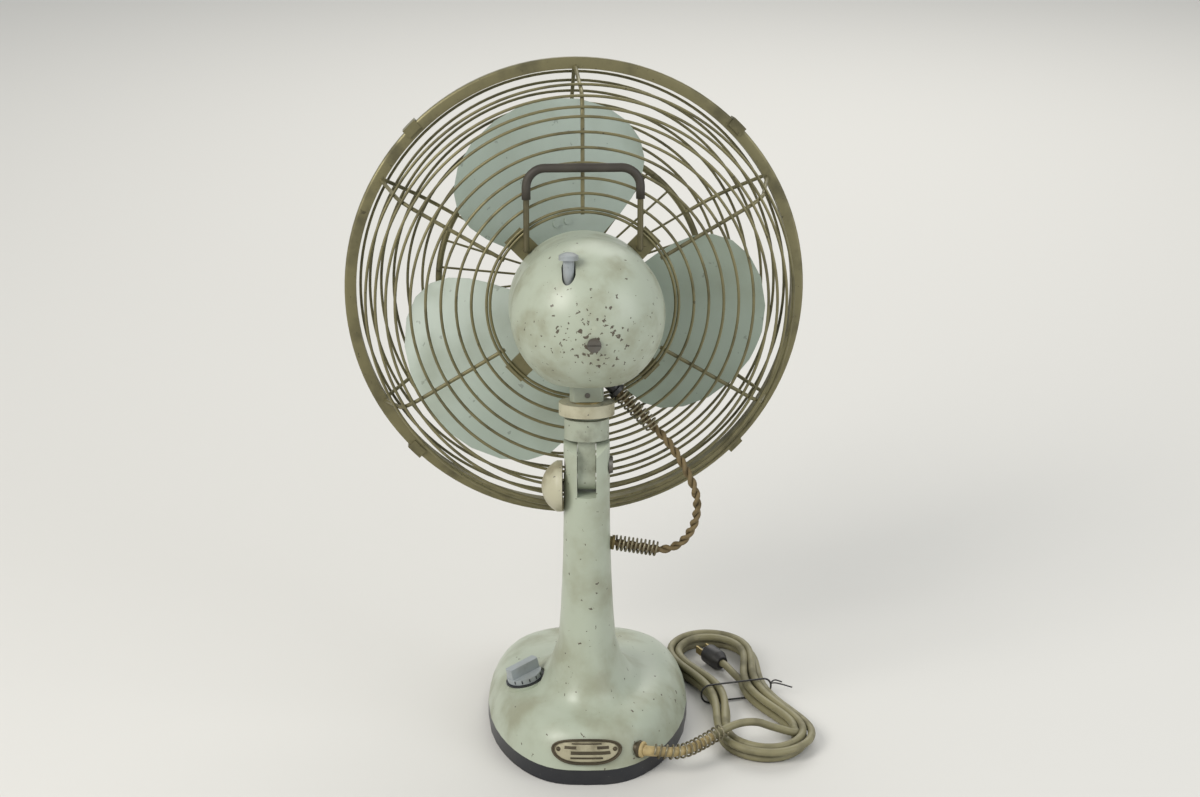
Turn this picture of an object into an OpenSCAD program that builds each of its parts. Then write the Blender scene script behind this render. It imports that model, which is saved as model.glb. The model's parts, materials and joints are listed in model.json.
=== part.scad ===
// Desk fan with a tilting, swinging head, a wire guard and a cast stand.
// The table is at z = 0, air blows along +Y, and the origin is the centre of the base.

/* [Overall] */
// Forward-down pitch of the head as it stands, in degrees
head_pitch = 8; // [5:1:9]
// Turn of the head to its left as it stands, in degrees
head_turn = 4.8; // [0:0.2:6]
// Height of the tilt axis above the table
tilt_axis_z = 223; // [212:1:236]
// Height of the fan axis above the tilt axis
fan_axis_h = 114; // [112:1:120]

/* [Base] */
// Width of the base
base_w = 155; // [148:1:164]
// Depth of the base, back to front
base_d = 222; // [212:1:234]
// Share by which the base narrows at its back
base_taper = 0.3; // [0.25:0.01:0.35]
// Height of the black plinth band
plinth_h = 12; // [10:1:14]
// Width of the plinth band's rim, seen from below
plinth_rim = 10; // [9:0.5:12]
// Rise of the base's crown above the plinth
crown_h = 31; // [28:1:34]
// Rise of the fillet from the crown into the column
fillet_h = 40; // [34:1:46]
// Wall of the hollow base
base_wall = 4; // [3:0.5:5]
// Thickness of the bottom plate
bottom_plate_t = 2; // [1.5:0.5:2.5]
// Shank radius of the bottom plate's screws
bottom_screw_r = 1.5; // [1.2:0.1:1.8]

/* [Column] */
// Width of the column at its top
column_top_w = 34; // [32:1:38]
// Width of the column near its foot
column_foot_w = 52; // [48:1:56]
// Depth of the column at its top
column_top_d = 34; // [32:1:35]
// Depth of the column near its foot
column_foot_d = 72; // [68:1:78]
// Distance of the column's axis behind the base's centre
column_back = 32; // [28:1:36]
// Radius of the column's ears about the tilt axis
ear_r = 19; // [18.5:0.5:21]
// Width of the slot between the ears
slot_w = 14; // [13:0.5:15]
// Height at which the cord's bush leaves the column
lead_bush_z = 161; // [150:1:170]

/* [Neck] */
// Radius of the tilt bolt
tilt_bolt_r = 5; // [4:0.5:6]
// Radius of the tilt bolt's head
tilt_head_r = 7; // [6.5:0.5:8]
// Radius of the tongue's rounded end
tongue_r = 10.5; // [10:0.5:11]
// Radius of the neck's shoulder
shoulder_r = 16.5; // [15.5:0.5:17]
// Radius of the round swivel disc
swivel_disc_r = 20.5; // [20:0.5:22]
// Thickness of the swivel disc
swivel_disc_t = 9; // [8:0.5:10]
// Radius of the swivel pin
swivel_pin_r = 6; // [5:0.5:7]

/* [Knobs] */
// Radius of the clamp knob
clamp_knob_r = 19; // [17:0.5:20]
// Length of the clamp knob's dome
clamp_knob_l = 15.5; // [14:0.5:18]
// Drop of the clamp screw below the tilt axis
clamp_drop = 17; // [16:0.5:18]
// Radius of the clamp screw
clamp_screw_r = 4; // [3.5:0.5:4.5]
// Radius of the speed knob's skirt
speed_knob_r = 13.5; // [11:0.5:13.5]
// Height of the speed knob
speed_knob_h = 12; // [12:1:16]
// Radius of the dial plate under the speed knob
dial_r = 15; // [14.5:0.5:16]
// Radius of the clutch knob's cap
clutch_cap_r = 7; // [6:0.5:8]
// Lift of the clutch knob
clutch_lift = 5; // [3:1:6]

/* [Motor] */
// Radius of the rear dome
dome_r = 56; // [55:0.5:58]
// Wall of the rear dome and of the motor frame's skirt
dome_wall = 2.5; // [2:0.5:3]
// Depth below the fan axis at which the dome is cut open
dome_cut = 48; // [47:0.5:48.5]
// Radius of the motor shaft
shaft_r = 4; // [3.5:0.5:4.5]
// Outer radius of the stator
stator_r = 45.9; // [44:0.1:46.5]
// Length of the stator
stator_l = 26; // [22:1:28]

/* [Blades] */
// Radius swept by the blade tips
blade_r = 148; // [140:1:152]
// Number of blades
blade_count = 3; // [3:1:4]
// Largest half angle that a blade spans, in degrees
blade_half = 46; // [38:1:48]
// Pitch of the blades, in degrees
blade_pitch = 24; // [18:1:27]
// Thickness of the blade sheet
blade_t = 1.2; // [1:0.1:1.6]

/* [Guard] */
// Outer radius of the guard's rim
rim_r = 178; // [172:1:182]
// Radial width of the rim
rim_w = 9; // [8:0.5:10]
// Length of the rim along the fan axis
rim_l = 11; // [9:0.5:12]
// Radius of the ring wire
ring_wire_r = 1.1; // [0.9:0.1:1.3]
// Radius of the spoke wire
spoke_wire_r = 1.5; // [1.2:0.1:1.7]
// Radius of the guard's innermost ring
inner_ring_r = 69; // [67:0.5:71]
// Radius at which the flat back of the guard turns forward
back_flat_r = 139; // [136:1:142]
// Radius of that turn
back_turn_r = 22; // [18:1:26]
// Number of rings across the flat back, outside the inner pair
back_rings = 6; // [5:1:7]
// Radius of the thick ring on the front guard
front_band_r = 105; // [98:1:110]
// Depth of the front guard ahead of the rim's middle
front_depth = 46; // [42:1:52]
// Number of thin spokes inside the thick ring
front_thin_spokes = 30; // [24:2:36]
// Width of the carrying handle, wire to wire
handle_w = 84; // [80:1:90]
// Height of the handle above the fan axis
handle_top = 102; // [97:1:105]
// Radius of the handle wire
handle_wire_r = 2.25; // [2:0.25:2.5]

/* [Cords] */
// Diameter of the mains cord
cord_d = 6; // [5:0.5:6.5]
// Half length of the bundle's inner loop
hank_half_l = 92; // [88:1:96]
// Diameter of the twisted motor lead
lead_d = 6.6; // [6:0.1:7]
// Wire radius of the strain springs
spring_wire_r = 0.75; // [0.6:0.05:0.8]

/* [Hidden] */
$fn = 64;

// Clearances
run_gap = 0.05;
seat_gap = 0.3;
side_gap = 0.4;
cut_over = 1;

// Colours
pale_green = [0.66, 0.72, 0.62];
blade_green = [0.60, 0.70, 0.65];
olive = [0.45, 0.42, 0.26];
cream = [0.75, 0.73, 0.58];
black = [0.08, 0.08, 0.09];
steel = [0.55, 0.55, 0.54];
brass = [0.62, 0.50, 0.24];
cord_olive = [0.46, 0.42, 0.27];
copper = [0.60, 0.33, 0.16];

// Frames
column_y = -column_back;
column_top = tilt_axis_z + ear_r;

module at_tilt_axis() translate([0, column_y, tilt_axis_z]) children();

module in_head() at_tilt_axis() rotate([-head_pitch, 0, 0]) children();

module in_turned_head() in_head() rotate(head_turn) children();

// On the fan axis, local z points forward and local y points down
module on_fan_axis() in_turned_head() translate([0, 0, fan_axis_h]) rotate([-90, 0, 0]) children();

// Turns a part to an angle seen from behind, counted up from the right
module at_angle(angle) rotate(-angle) children();

function turned(p) = [p.x * cos(head_turn) - p.y * sin(head_turn), p.x * sin(head_turn) + p.y * cos(head_turn), p.z];

function pitched(p) = [
    p.x,
    column_y + p.y * cos(head_pitch) + p.z * sin(head_pitch),
    tilt_axis_z - p.y * sin(head_pitch) + p.z * cos(head_pitch)
];

function head_point(p) = pitched(turned(p));

function unit(v) = v / norm(v);

// A smooth path through hand-chosen points, in equal steps between each pair
function smooth_path(points, steps) = let (last = len(points) - 1) [
    for (i = [0:last - 1], k = [0:steps - 1])
        let (u = k / steps, a = points[max(i - 1, 0)], b = points[i], c = points[i + 1], d = points[min(i + 2, last)])
        b + u / 2 * ((c - a) + u * ((2 * a - 5 * b + 4 * c - d) + u * (3 * b - a - 3 * c + d))),
    points[last]
];

function tangents(points) = let (last = len(points) - 1)
    [for (i = [0:last]) unit(points[min(i + 1, last)] - points[max(i - 1, 0)])];

// Least clear distance of a tube to itself, past its near neighbours
function least_gap(points, d, skip) = min([
    for (i = [0:len(points) - 1], j = [i + skip:1:len(points) - 1]) norm(points[i] - points[j])
]) - d;

function path_length(points) = sum_to([for (i = [1:len(points) - 1]) norm(points[i] - points[i - 1])], 0, 0);

function sum_to(values, i, total) = i == len(values) ? total : sum_to(values, i + 1, total + values[i]);

// A tube of one radius along points, with a side vector for each point
module tube(points, up, r, sides) {
    last = len(points) - 1;
    ahead = tangents(points);
    rings = [
        for (i = [0:last])
            let (b = unit(cross(ahead[i], up[i])), n = cross(b, ahead[i]))
            for (k = [0:sides - 1])
                points[i] + r * (cos(k * 360 / sides) * n + sin(k * 360 / sides) * b)
    ];
    walls = [
        for (i = [0:last - 1], k = [0:sides - 1])
            let (a = i * sides + k, b = i * sides + (k + 1) % sides)
            each [[a, a + sides, b], [b, a + sides, b + sides]]
    ];
    end = last * sides;
    caps = [for (k = [1:sides - 2]) each [[0, k, k + 1], [end, end + k + 1, end + k]]];
    polyhedron(points = rings, faces = concat(walls, caps));
}

// Points of a helix round a straight path along z, with a straight tail at each end
function spring_points(length, r, coils) = [
    for (i = [0:coils * 8]) [r * cos(45 * i), r * sin(45 * i), length * i / coils / 8]
];

// The same wire with a short straight tail at each end
function with_tails(points) = let (last = len(points) - 1, tail = 2 * spring_wire_r) concat(
    [points[0] - tail * unit(points[1] - points[0])],
    points,
    [points[last] + tail * unit(points[last] - points[last - 1])]
);

function with_end_copies(list) = concat([list[0]], list, [list[len(list) - 1]]);

function radial(points) = [for (p = points) unit([p.x, p.y, 0])];

module straight_spring(length, r, coils) {
    points = spring_points(length, r, coils);
    echo("least gap of a lead spring", least_gap(points, 2 * spring_wire_r, 6));
    tube(with_tails(points), with_end_copies(radial(points)), spring_wire_r, 6);
}

// Base and column, as one loft
outline_steps = 48;
outline_power = 3;
crown_power = 5;
fillet_reach = 0.1;

function signed_power(v, p) = sign(v) * pow(abs(v), p);

function base_edge(angle) = let (
    y = base_d / 2 * signed_power(sin(angle), 2 / outline_power),
    narrow = 1 - base_taper * pow(max(0, -2 * y / base_d), 1.5)
) [base_w / 2 * narrow * signed_power(cos(angle), 2 / outline_power), y];

foot_z = plinth_h + crown_h;

function column_share(z) = max(0, column_top - z) / (column_top - foot_z);

function column_edge(angle, z) = [
    (column_top_w + (column_foot_w - column_top_w) * pow(column_share(z), 3)) / 2 * cos(angle),
    column_y + (column_top_d + (column_foot_d - column_top_d) * pow(column_share(z), 2)) / 2 * sin(angle)
];

// Height of the casting where it is the share f of the way out from column to base edge
function casting_z(f) = plinth_h + crown_h * (1 - pow(f, crown_power)) + fillet_h * exp(-f / fillet_reach);

function casting_point(angle, f) = let (
    z = casting_z(f) - fillet_h * exp(-1 / fillet_reach) * f,
    c = column_edge(angle, z),
    b = base_edge(angle)
) [c.x + (b.x - c.x) * f, c.y + (b.y - c.y) * f, z];

module loft(levels) {
    n = outline_steps;
    last = len(levels) - 1;
    walls = [
        for (i = [0:last - 1], k = [0:n - 1])
            let (a = i * n + k, b = i * n + (k + 1) % n)
            each [[a, a + n, b], [b, a + n, b + n]]
    ];
    floor_face = [for (k = [0:n - 1]) k];
    roof_face = [for (k = [n - 1:-1:0]) last * n + k];
    polyhedron(points = [for (level = levels) each level], faces = concat(walls, [floor_face, roof_face]));
}

outline_angles = [for (k = [0:outline_steps - 1]) 360 * k / outline_steps];
casting_shares = [1, 0.985, 0.96, 0.925, 0.88, 0.82, 0.74, 0.64, 0.53, 0.42, 0.32, 0.23, 0.16, 0.1, 0.05, 0];
column_steps = 7;
fillet_top = casting_z(0);
casting_levels = concat(
    [for (f = casting_shares) [for (angle = outline_angles) casting_point(angle, f)]],
    [for (i = [1:column_steps])
        let (z = fillet_top + (column_top - fillet_top) * i / column_steps)
        [for (angle = outline_angles) [each column_edge(angle, z), z]]]
);

cavity_shares = [0.985, 0.96, 0.92, 0.86, 0.78, 0.66, 0.5, 0.36];
wall_share = 2 * base_wall / base_w;
cavity_levels = concat(
    [[for (angle = outline_angles) [each base_edge(angle) * (1 - 2 * wall_share), plinth_h - cut_over]]],
    [for (f = cavity_shares) [
        for (angle = outline_angles)
            let (p = casting_point(angle, f), c = column_edge(angle, p.z), b = base_edge(angle))
            [c.x + (b.x - c.x) * (f - 1.5 * wall_share), c.y + (b.y - c.y) * (f - 1.5 * wall_share), p.z - base_wall]
    ]]
);

// Speed control on the base's left shoulder
speed_angle = 183;
speed_share = 0.42;
speed_spot = casting_point(speed_angle, speed_share);
speed_lean = 13;
speed_seat_r = dial_r + 1;
speed_seat_h = 1.2;
dial_t = 1.2;
switch_bush_r = 4.5;
switch_shaft_r = 3;
switch_body_r = 13;
switch_body_h = 14;
switch_depth = base_wall + 4.2;

module at_speed_spot() translate(speed_spot) rotate([0, -speed_lean, 0]) children();

// Cord outlet on the base's right rear
outlet_angle = 305;
outlet_share = 0.93;
outlet_spot = casting_point(outlet_angle, outlet_share);
outlet_heading = -25;
grommet_r = 6.5;
grommet_neck_r = 5;
grommet_proud = 3;

module at_outlet() translate(outlet_spot) rotate([0, 90, outlet_heading]) children();

// Lead outlet on the column's right side
lead_bush_droop = 9;
lead_bush_r = 5.5;
lead_bush_neck_r = 4.4;
lead_bush_proud = 3;
lead_bush_flange = 1;
lead_bore_r = 5;
column_side = column_edge(0, lead_bush_z).x;

module at_lead_bush() translate([column_side, column_y, lead_bush_z]) rotate([0, 90 + lead_bush_droop, 0]) children();

// Tilt pivot and clamp
ear_face_x = column_top_w / 2 - 0.6;
tilt_head_t = 3;
nut_face_x = ear_face_x - tilt_head_t;
slot_drop = 20;
clamp_face_x = column_top_w / 2 + 1;

module along_x() rotate([0, 90, 0]) children();

module stand_casting() color(pale_green) difference() {
    union() {
        loft(casting_levels);
        at_speed_spot() translate([0, 0, -base_wall]) cylinder(r = speed_seat_r, h = base_wall + speed_seat_h);
    }
    loft(cavity_levels);
    // Rounded ears and the slot between them
    at_tilt_axis() difference() {
        translate([-base_w / 2, -base_d / 4, 0]) cube([base_w, base_d / 2, 2 * ear_r]);
        along_x() cylinder(r = ear_r, h = base_w, center = true);
    }
    at_tilt_axis() translate([-slot_w / 2, -base_d / 4, -slot_drop]) cube([slot_w, base_d / 2, slot_drop + 2 * ear_r]);
    // Tilt bolt and its two seats
    at_tilt_axis() along_x() cylinder(r = tilt_bolt_r, h = base_w, center = true);
    at_tilt_axis() translate([ear_face_x, 0, 0]) along_x() cylinder(r = tilt_head_r + seat_gap, h = base_w / 2);
    at_tilt_axis() translate([-nut_face_x, 0, 0]) rotate([0, -90, 0]) cylinder(r = tilt_head_r + seat_gap, h = base_w / 2);
    // Clamp screw
    at_tilt_axis() translate([-base_w / 2, 0, -clamp_drop]) along_x()
        cylinder(r = clamp_screw_r + run_gap, h = base_w / 2 - slot_w / 2 + cut_over);
    // Motor lead, down the column to the base
    at_lead_bush() cylinder(r = lead_bush_neck_r, h = 4 * lead_bush_r, center = true);
    translate([0, column_y, plinth_h]) cylinder(r = lead_bore_r, h = lead_bush_z - plinth_h);
    // Switch bush and mains cord
    at_speed_spot() cylinder(r = switch_bush_r, h = 8 * base_wall, center = true);
    at_speed_spot() translate([0, 0, speed_seat_h]) cylinder(r = speed_seat_r, h = speed_knob_h);
    at_outlet() cylinder(r = grommet_neck_r, h = 8 * base_wall, center = true);
    at_outlet() cylinder(r = grommet_r + seat_gap, h = 8 * base_wall);
}

module base_outline(inset) {
    k = 1 - 2 * inset / base_w;
    polygon([for (angle = outline_angles) base_edge(angle) * k]);
}

plate_lip = plinth_rim / 2;
plate_recess = bottom_plate_t + 1;
bottom_screw_spots = [for (angle = [35, 145, 215, 325]) base_edge(angle) * (1 - 1.5 * plinth_rim / base_w)];

module plinth() color(black) difference() {
    linear_extrude(plinth_h) base_outline(0);
    translate([0, 0, -cut_over]) linear_extrude(plinth_h + 2 * cut_over) base_outline(plinth_rim);
    translate([0, 0, -cut_over]) linear_extrude(plate_recess + cut_over) base_outline(plate_lip);
    for (spot = bottom_screw_spots) translate([each spot, 0]) cylinder(r = bottom_screw_r, h = plinth_h - 2);
}

module bottom_plate() color(steel) translate([0, 0, plate_recess - bottom_plate_t]) difference() {
    linear_extrude(bottom_plate_t) base_outline(plate_lip + seat_gap);
    for (spot = bottom_screw_spots) translate([each spot, -cut_over])
        cylinder(r = bottom_screw_r + run_gap, h = bottom_plate_t + 2 * cut_over);
}

module bottom_screws() color(steel) for (spot = bottom_screw_spots) translate([each spot, 0]) {
    head_h = plate_recess - bottom_plate_t - 0.2;
    translate([0, 0, 0.2]) cylinder(r = 2 * bottom_screw_r, h = head_h);
    translate([0, 0, 0.2]) cylinder(r = bottom_screw_r, h = plinth_h - 4);
}

module speed_switch() color(black) at_speed_spot() {
    translate([0, 0, -switch_depth - switch_body_h]) cylinder(r = switch_body_r, h = switch_body_h);
    translate([0, 0, -switch_depth]) cylinder(r = switch_bush_r - run_gap, h = switch_depth + speed_seat_h);
    translate([0, 0, -switch_depth]) cylinder(r = switch_shaft_r, h = switch_depth + speed_seat_h + speed_knob_h / 2);
}

module dial_plate() color(black) at_speed_spot() translate([0, 0, speed_seat_h]) difference() {
    cylinder(r = dial_r, h = dial_t);
    translate([0, 0, -cut_over]) cylinder(r = switch_bush_r, h = dial_t + 2 * cut_over);
}

skirt_h = 4;
grip_w = 8;

module speed_knob() color(steel) at_speed_spot() translate([0, 0, speed_seat_h + dial_t + seat_gap]) difference() {
    union() {
        cylinder(r = speed_knob_r, h = skirt_h);
        rotate(35) intersection() {
            translate([-speed_knob_r, -grip_w / 2, 0]) cube([2 * speed_knob_r, grip_w, speed_knob_h]);
            cylinder(r = speed_knob_r - 0.6, h = speed_knob_h);
        }
    }
    translate([0, 0, -cut_over]) cylinder(r = switch_shaft_r + run_gap, h = speed_knob_h - 3);
}

// Oval nameplate, bent to the base's back and left bare
plate_half_turn = 21;
plate_share = 0.88;
plate_half_share = 0.09;
plate_t = 0.8;

function plate_point(rho, turn, rise) = let (
    p = casting_point(270 + plate_half_turn * rho * cos(turn), plate_share + plate_half_share * rho * sin(turn)),
    out = unit([p.x, p.y - column_y - 30, 15])
) p + rise * out;

module nameplate() color(brass) {
    rings = 3;
    n = 28;
    layer = rings * n + 1;
    points = [
        for (rise = [seat_gap, seat_gap + plate_t])
            each concat([plate_point(0, 0, rise)],
                [for (i = [1:rings], k = [0:n - 1]) plate_point(i / rings, 360 * k / n, rise)])
    ];
    top = [for (k = [0:n - 1]) each concat(
        [[0, 1 + k, 1 + (k + 1) % n]],
        [for (i = [0:rings - 2])
            let (a = 1 + i * n + k, b = 1 + i * n + (k + 1) % n)
            each [[a, a + n, b], [b, a + n, b + n]]]
    )];
    edge = [for (k = [0:n - 1])
        let (a = 1 + (rings - 1) * n + k, b = 1 + (rings - 1) * n + (k + 1) % n)
        each [[a, a + layer, b], [b, a + layer, b + layer]]];
    under = [for (f = top) [f[0], f[1], f[2]]];
    over = [for (f = top) [f[0] + layer, f[2] + layer, f[1] + layer]];
    polyhedron(points = points, faces = concat(under, over, edge));
}

module cord_grommet() color(brass) at_outlet() difference() {
    union() {
        cylinder(r1 = grommet_r, r2 = grommet_r - 1, h = grommet_proud);
        translate([0, 0, -base_wall]) cylinder(r = grommet_neck_r - run_gap, h = base_wall + cut_over);
    }
    translate([0, 0, -2 * base_wall]) cylinder(r = cord_d / 2 + run_gap, h = 6 * base_wall);
}

// Mains cord, from the grommet over the bundle's near loops and down into it
hank_centre = [118, 24];
hank_heading = 104.6;
hank_half_w = 42;
hank_waist = 0.8;
hank_pitch = cord_d + 2;
hank_first = 215;
hank_loops = 4.19;
hank_layers = 2;
tie_t = 1.2;
tie_w = 6;
waist_run = 35;
layer_step = cord_d + 1.3;

function hank_local(turn, k, layer) = let (
    along = (hank_half_l + hank_pitch * k) * cos(turn),
    across = sin(turn) * (hank_half_w * (1 - hank_waist * pow(sin(turn), 4)) + hank_pitch * k),
    lift = (tie_t + 0.3) * exp(-pow(along / waist_run, 2))
) [along, across, cord_d / 2 + layer * layer_step + lift];

function hank_place(p) = [
    hank_centre.x + p.x * cos(hank_heading) - p.y * sin(hank_heading),
    hank_centre.y + p.x * sin(hank_heading) + p.y * cos(hank_heading),
    p.z
];

function ease(u) = let (v = min(1, max(0, u))) v * v * (3 - 2 * v);

hank_span = 360 * hank_loops;
hank_middle = hank_first + hank_span / 2;
hank_turns = hank_loops / 2;
hank_climb = 60;
hank_rings = 24;

function hank_point(turn) = let (
    u = (turn - hank_first) / hank_span,
    k = hank_turns * (1 - abs(1 - 2 * u)),
    layer = 1 - ease((turn - hank_middle + hank_climb) / (2 * hank_climb))
) hank_place(hank_local(turn, k, layer));

hank_steps = round(hank_loops * hank_rings);
hank_turn_points = [for (i = [0:hank_steps]) hank_point(hank_first + hank_span * i / hank_steps)];
hank_last = hank_first + hank_span;
plug_r = 8;
plug_l = 20;
plug_lead = 6;
plug_turn = 15;
plug_spot = [50, -4, plug_r];
plug_heading = hank_place([cos(plug_turn), sin(plug_turn), 0]) - hank_place([0, 0, 0]);
plug_start = hank_place(plug_spot);
tail_middle = (hank_point(hank_last) + plug_start - plug_lead * plug_heading) / 2;
hank_points = concat(hank_turn_points, [tail_middle, plug_start - plug_lead * plug_heading, plug_start]);
level_up = [0, 0, 1];

mains_start = outlet_spot + [cos(outlet_heading), sin(outlet_heading), 0] * grommet_proud;
mains_points = concat(
    [mains_start, mains_start + [cos(outlet_heading), sin(outlet_heading), -0.05] * 4],
    [[55.2, -97.7, 20.5], [62.9, -97.5, 20], [70.6, -94.9, 19.5], [77, -90, 19], [84, -83, 19], [92, -75, 19.5],
     [100, -67, 20.5], [109, -60, 21.5], [119, -54, 21.5], [130, -50, 19.5], [141, -48.5, 15]],
    [hank_points[0] - 6 * unit(hank_points[1] - hank_points[0]), hank_points[0]]
);
mains_path = smooth_path(mains_points, 2);

module mains_cord() color(cord_olive) tube(mains_path, [for (p = mains_path) level_up], cord_d / 2, 10);

module cord_hank() color(cord_olive) {
    echo("length of the bundled cord", path_length(hank_points));
    echo("length of the free cord", path_length(mains_path));
    echo("least gap of the bundle", least_gap(hank_turn_points, cord_d, 14));
    tube(hank_points, [for (p = hank_points) level_up], cord_d / 2, 6);
}

module at_hank() translate([hank_centre.x, hank_centre.y, 0]) rotate(hank_heading) children();

tie_inner_w = 2 * (hank_half_w * (1 - hank_waist) + hank_pitch * hank_turns) + cord_d + 2;
tie_inner_h = hank_layers * layer_step + 1;

module tie_outline(grow) translate([0, tie_t + 0.1 + tie_inner_h / 2])
    square([tie_inner_w + 2 * grow, tie_inner_h + 2 * grow], center = true);

module cord_tie() color(black) at_hank() translate([-tie_w / 2, 0, 0]) rotate([90, 0, 90]) linear_extrude(tie_w) difference() {
    tie_outline(tie_t);
    tie_outline(0);
}

module at_plug() translate(plug_start) rotate([0, 90, atan2(plug_heading.y, plug_heading.x)]) children();

pin_l = 12;
pin_w = 6;
pin_t = 1.5;
pin_apart = 9;

module plug_body() color(black) at_plug() difference() {
    union() {
        cylinder(r1 = plug_r - 3, r2 = plug_r, h = plug_l / 3);
        translate([0, 0, plug_l / 3]) cylinder(r = plug_r, h = plug_l * 2 / 3);
    }
    for (side = [-1, 1]) translate([-pin_w / 2, side * pin_apart / 2 - pin_t / 2, plug_l / 2]) cube([pin_w, pin_t, plug_l]);
}

module plug_pins() color(brass) at_plug() for (side = [-1, 1])
    translate([-pin_w / 2, side * pin_apart / 2 - pin_t / 2, plug_l / 2]) cube([pin_w, pin_t, plug_l / 2 + pin_l]);

// Long strain spring on the mains cord
mains_spring_r = 5;
mains_spring_coils = 14;
mains_spring_from = 9;
mains_spring_l = 66;
mains_spring_growth = 1.06;
mains_spring_steps = mains_spring_coils * 8;
mains_reach = [for (i = [0:len(mains_path) - 1]) path_length([for (k = [0:max(i, 1)]) mains_path[k]]) * min(i, 1)];

function mains_at(s) = [for (axis = [0:2]) lookup(s, [for (i = [0:len(mains_path) - 1]) [mains_reach[i], mains_path[i][axis]]])];

function mains_spring_axis(i) = mains_at(mains_spring_from + mains_spring_l * pow(i / mains_spring_steps, mains_spring_growth));

function mains_spring_out(i) = let (
    ahead = unit(mains_spring_axis(min(i + 2, mains_spring_steps)) - mains_spring_axis(max(i - 2, 0))),
    side = unit(cross(ahead, level_up)),
    turn = 360 * i / 8
) cos(turn) * side + sin(turn) * cross(side, ahead);

mains_spring_points = [for (i = [0:mains_spring_steps]) mains_spring_axis(i) + mains_spring_r * mains_spring_out(i)];

module mains_spring() color(steel) {
    echo("least gap of the mains spring", least_gap(mains_spring_points, 2 * spring_wire_r, 6));
    tube(with_tails(mains_spring_points), with_end_copies([for (i = [0:mains_spring_steps]) mains_spring_out(i)]), spring_wire_r, 6);
}

// Motor lead, from the gland under the motor to the bush in the column
gland_spot = [21, 2, fan_axis_h - dome_r - 2];
gland_lean = 135;
gland_r = 4.6;
gland_flange_r = 6.5;
gland_flange_t = 3;
gland_depth = 12;

module at_gland() in_turned_head() translate(gland_spot) rotate([0, gland_lean, 0]) children();

gland_way = [sin(gland_lean), 0, cos(gland_lean)];
bush_way = [cos(lead_bush_droop), 0, -sin(lead_bush_droop)];
lead_start = head_point(gland_spot + gland_flange_t * gland_way);
lead_leave = head_point(gland_spot + (gland_flange_t + 38) * gland_way);
bush_end = [column_side, column_y, lead_bush_z] + lead_bush_proud * bush_way;
bush_leave = bush_end + 36 * bush_way;
lead_path = smooth_path(concat(
    [lead_start, (lead_start + lead_leave) / 2, lead_leave],
    [[60, -30, 240], [72, -40, 224], [80, -45, 206], [81, -43, 188], [77, -39, 173], [69, -35, 161]],
    [bush_leave, (bush_leave + bush_end) / 2, bush_end]
), 3);
lead_up = [0, 1, 0];
lead_spring_gap = 1.2;

module motor_lead() color(brass) {
    echo("length of the motor lead", path_length(lead_path));
    tube(lead_path, [for (p = lead_path) lead_up], lead_d / 2, 10);
}

lead_spring_r = lead_d / 2 + spring_wire_r + lead_spring_gap;
upper_spring_l = 36;
lower_spring_l = 31;

module lead_gland() color(black) at_gland() difference() {
    union() {
        translate([0, 0, -gland_depth]) cylinder(r = gland_r - run_gap, h = gland_depth + cut_over);
        cylinder(r = gland_flange_r, h = gland_flange_t);
    }
    translate([0, 0, -2 * gland_depth]) cylinder(r = lead_d / 2 + run_gap, h = 4 * gland_depth);
}

module upper_lead_spring() color(steel) at_gland() translate([0, 0, gland_flange_t + spring_wire_r + 0.2])
    straight_spring(upper_spring_l, lead_spring_r, 11);

module lower_lead_spring() color(steel) at_lead_bush() translate([0, 0, lead_bush_proud + spring_wire_r + 0.2])
    straight_spring(lower_spring_l, lead_spring_r, 10);

module lead_bush() color(brass) at_lead_bush() difference() {
    union() {
        translate([0, 0, lead_bush_flange]) cylinder(r = lead_bush_r, h = lead_bush_proud - lead_bush_flange);
        translate([0, 0, -2 * lead_bush_r]) cylinder(r = lead_bush_neck_r - run_gap, h = 2 * lead_bush_r + lead_bush_proud);
    }
    translate([0, 0, -4 * lead_bush_r]) cylinder(r = lead_d / 2 + run_gap, h = 8 * lead_bush_r);
}

module tilt_bolt() color(steel) at_tilt_axis() {
    translate([-ear_face_x, 0, 0]) along_x() cylinder(r = tilt_bolt_r - run_gap, h = 2 * ear_face_x + 1);
    translate([ear_face_x, 0, 0]) along_x() difference() {
        cylinder(r1 = tilt_head_r, r2 = tilt_head_r - 1, h = tilt_head_t);
        translate([-tilt_head_r, -0.8, tilt_head_t - 1]) cube([2 * tilt_head_r, 1.6, 2]);
    }
}

module tilt_nut() color(steel) at_tilt_axis() translate([-ear_face_x, 0, 0]) along_x() difference() {
    cylinder(r = tilt_head_r, h = tilt_head_t, $fn = 6);
    translate([0, 0, -cut_over]) cylinder(r = tilt_bolt_r, h = tilt_head_t + 2 * cut_over);
}

module at_clamp() at_tilt_axis() translate([-clamp_face_x, 0, -clamp_drop]) rotate([0, -90, 0]) children();

dome_flat = 4;

module clamp_knob() color(cream) at_clamp() difference() {
    union() {
        cylinder(r = clamp_knob_r, h = dome_flat);
        translate([0, 0, dome_flat]) intersection() {
            translate([0, 0, clamp_knob_l - dome_flat - clamp_cap_r]) sphere(r = clamp_cap_r);
            cylinder(r = clamp_knob_r, h = clamp_knob_l);
        }
    }
    translate([0, 0, -cut_over]) cylinder(r = clamp_screw_r, h = clamp_knob_l / 2 + cut_over);
}

clamp_rise = clamp_knob_l - dome_flat;
clamp_cap_r = (clamp_knob_r * clamp_knob_r + clamp_rise * clamp_rise) / (2 * clamp_rise);
tongue_t = slot_w - 2 * side_gap;

module clamp_screw() color(steel) at_clamp() translate([0, 0, -(clamp_face_x - tongue_t / 2 - seat_gap)])
    cylinder(r = clamp_screw_r, h = clamp_face_x - tongue_t / 2 - seat_gap + clamp_knob_l / 2);

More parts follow.
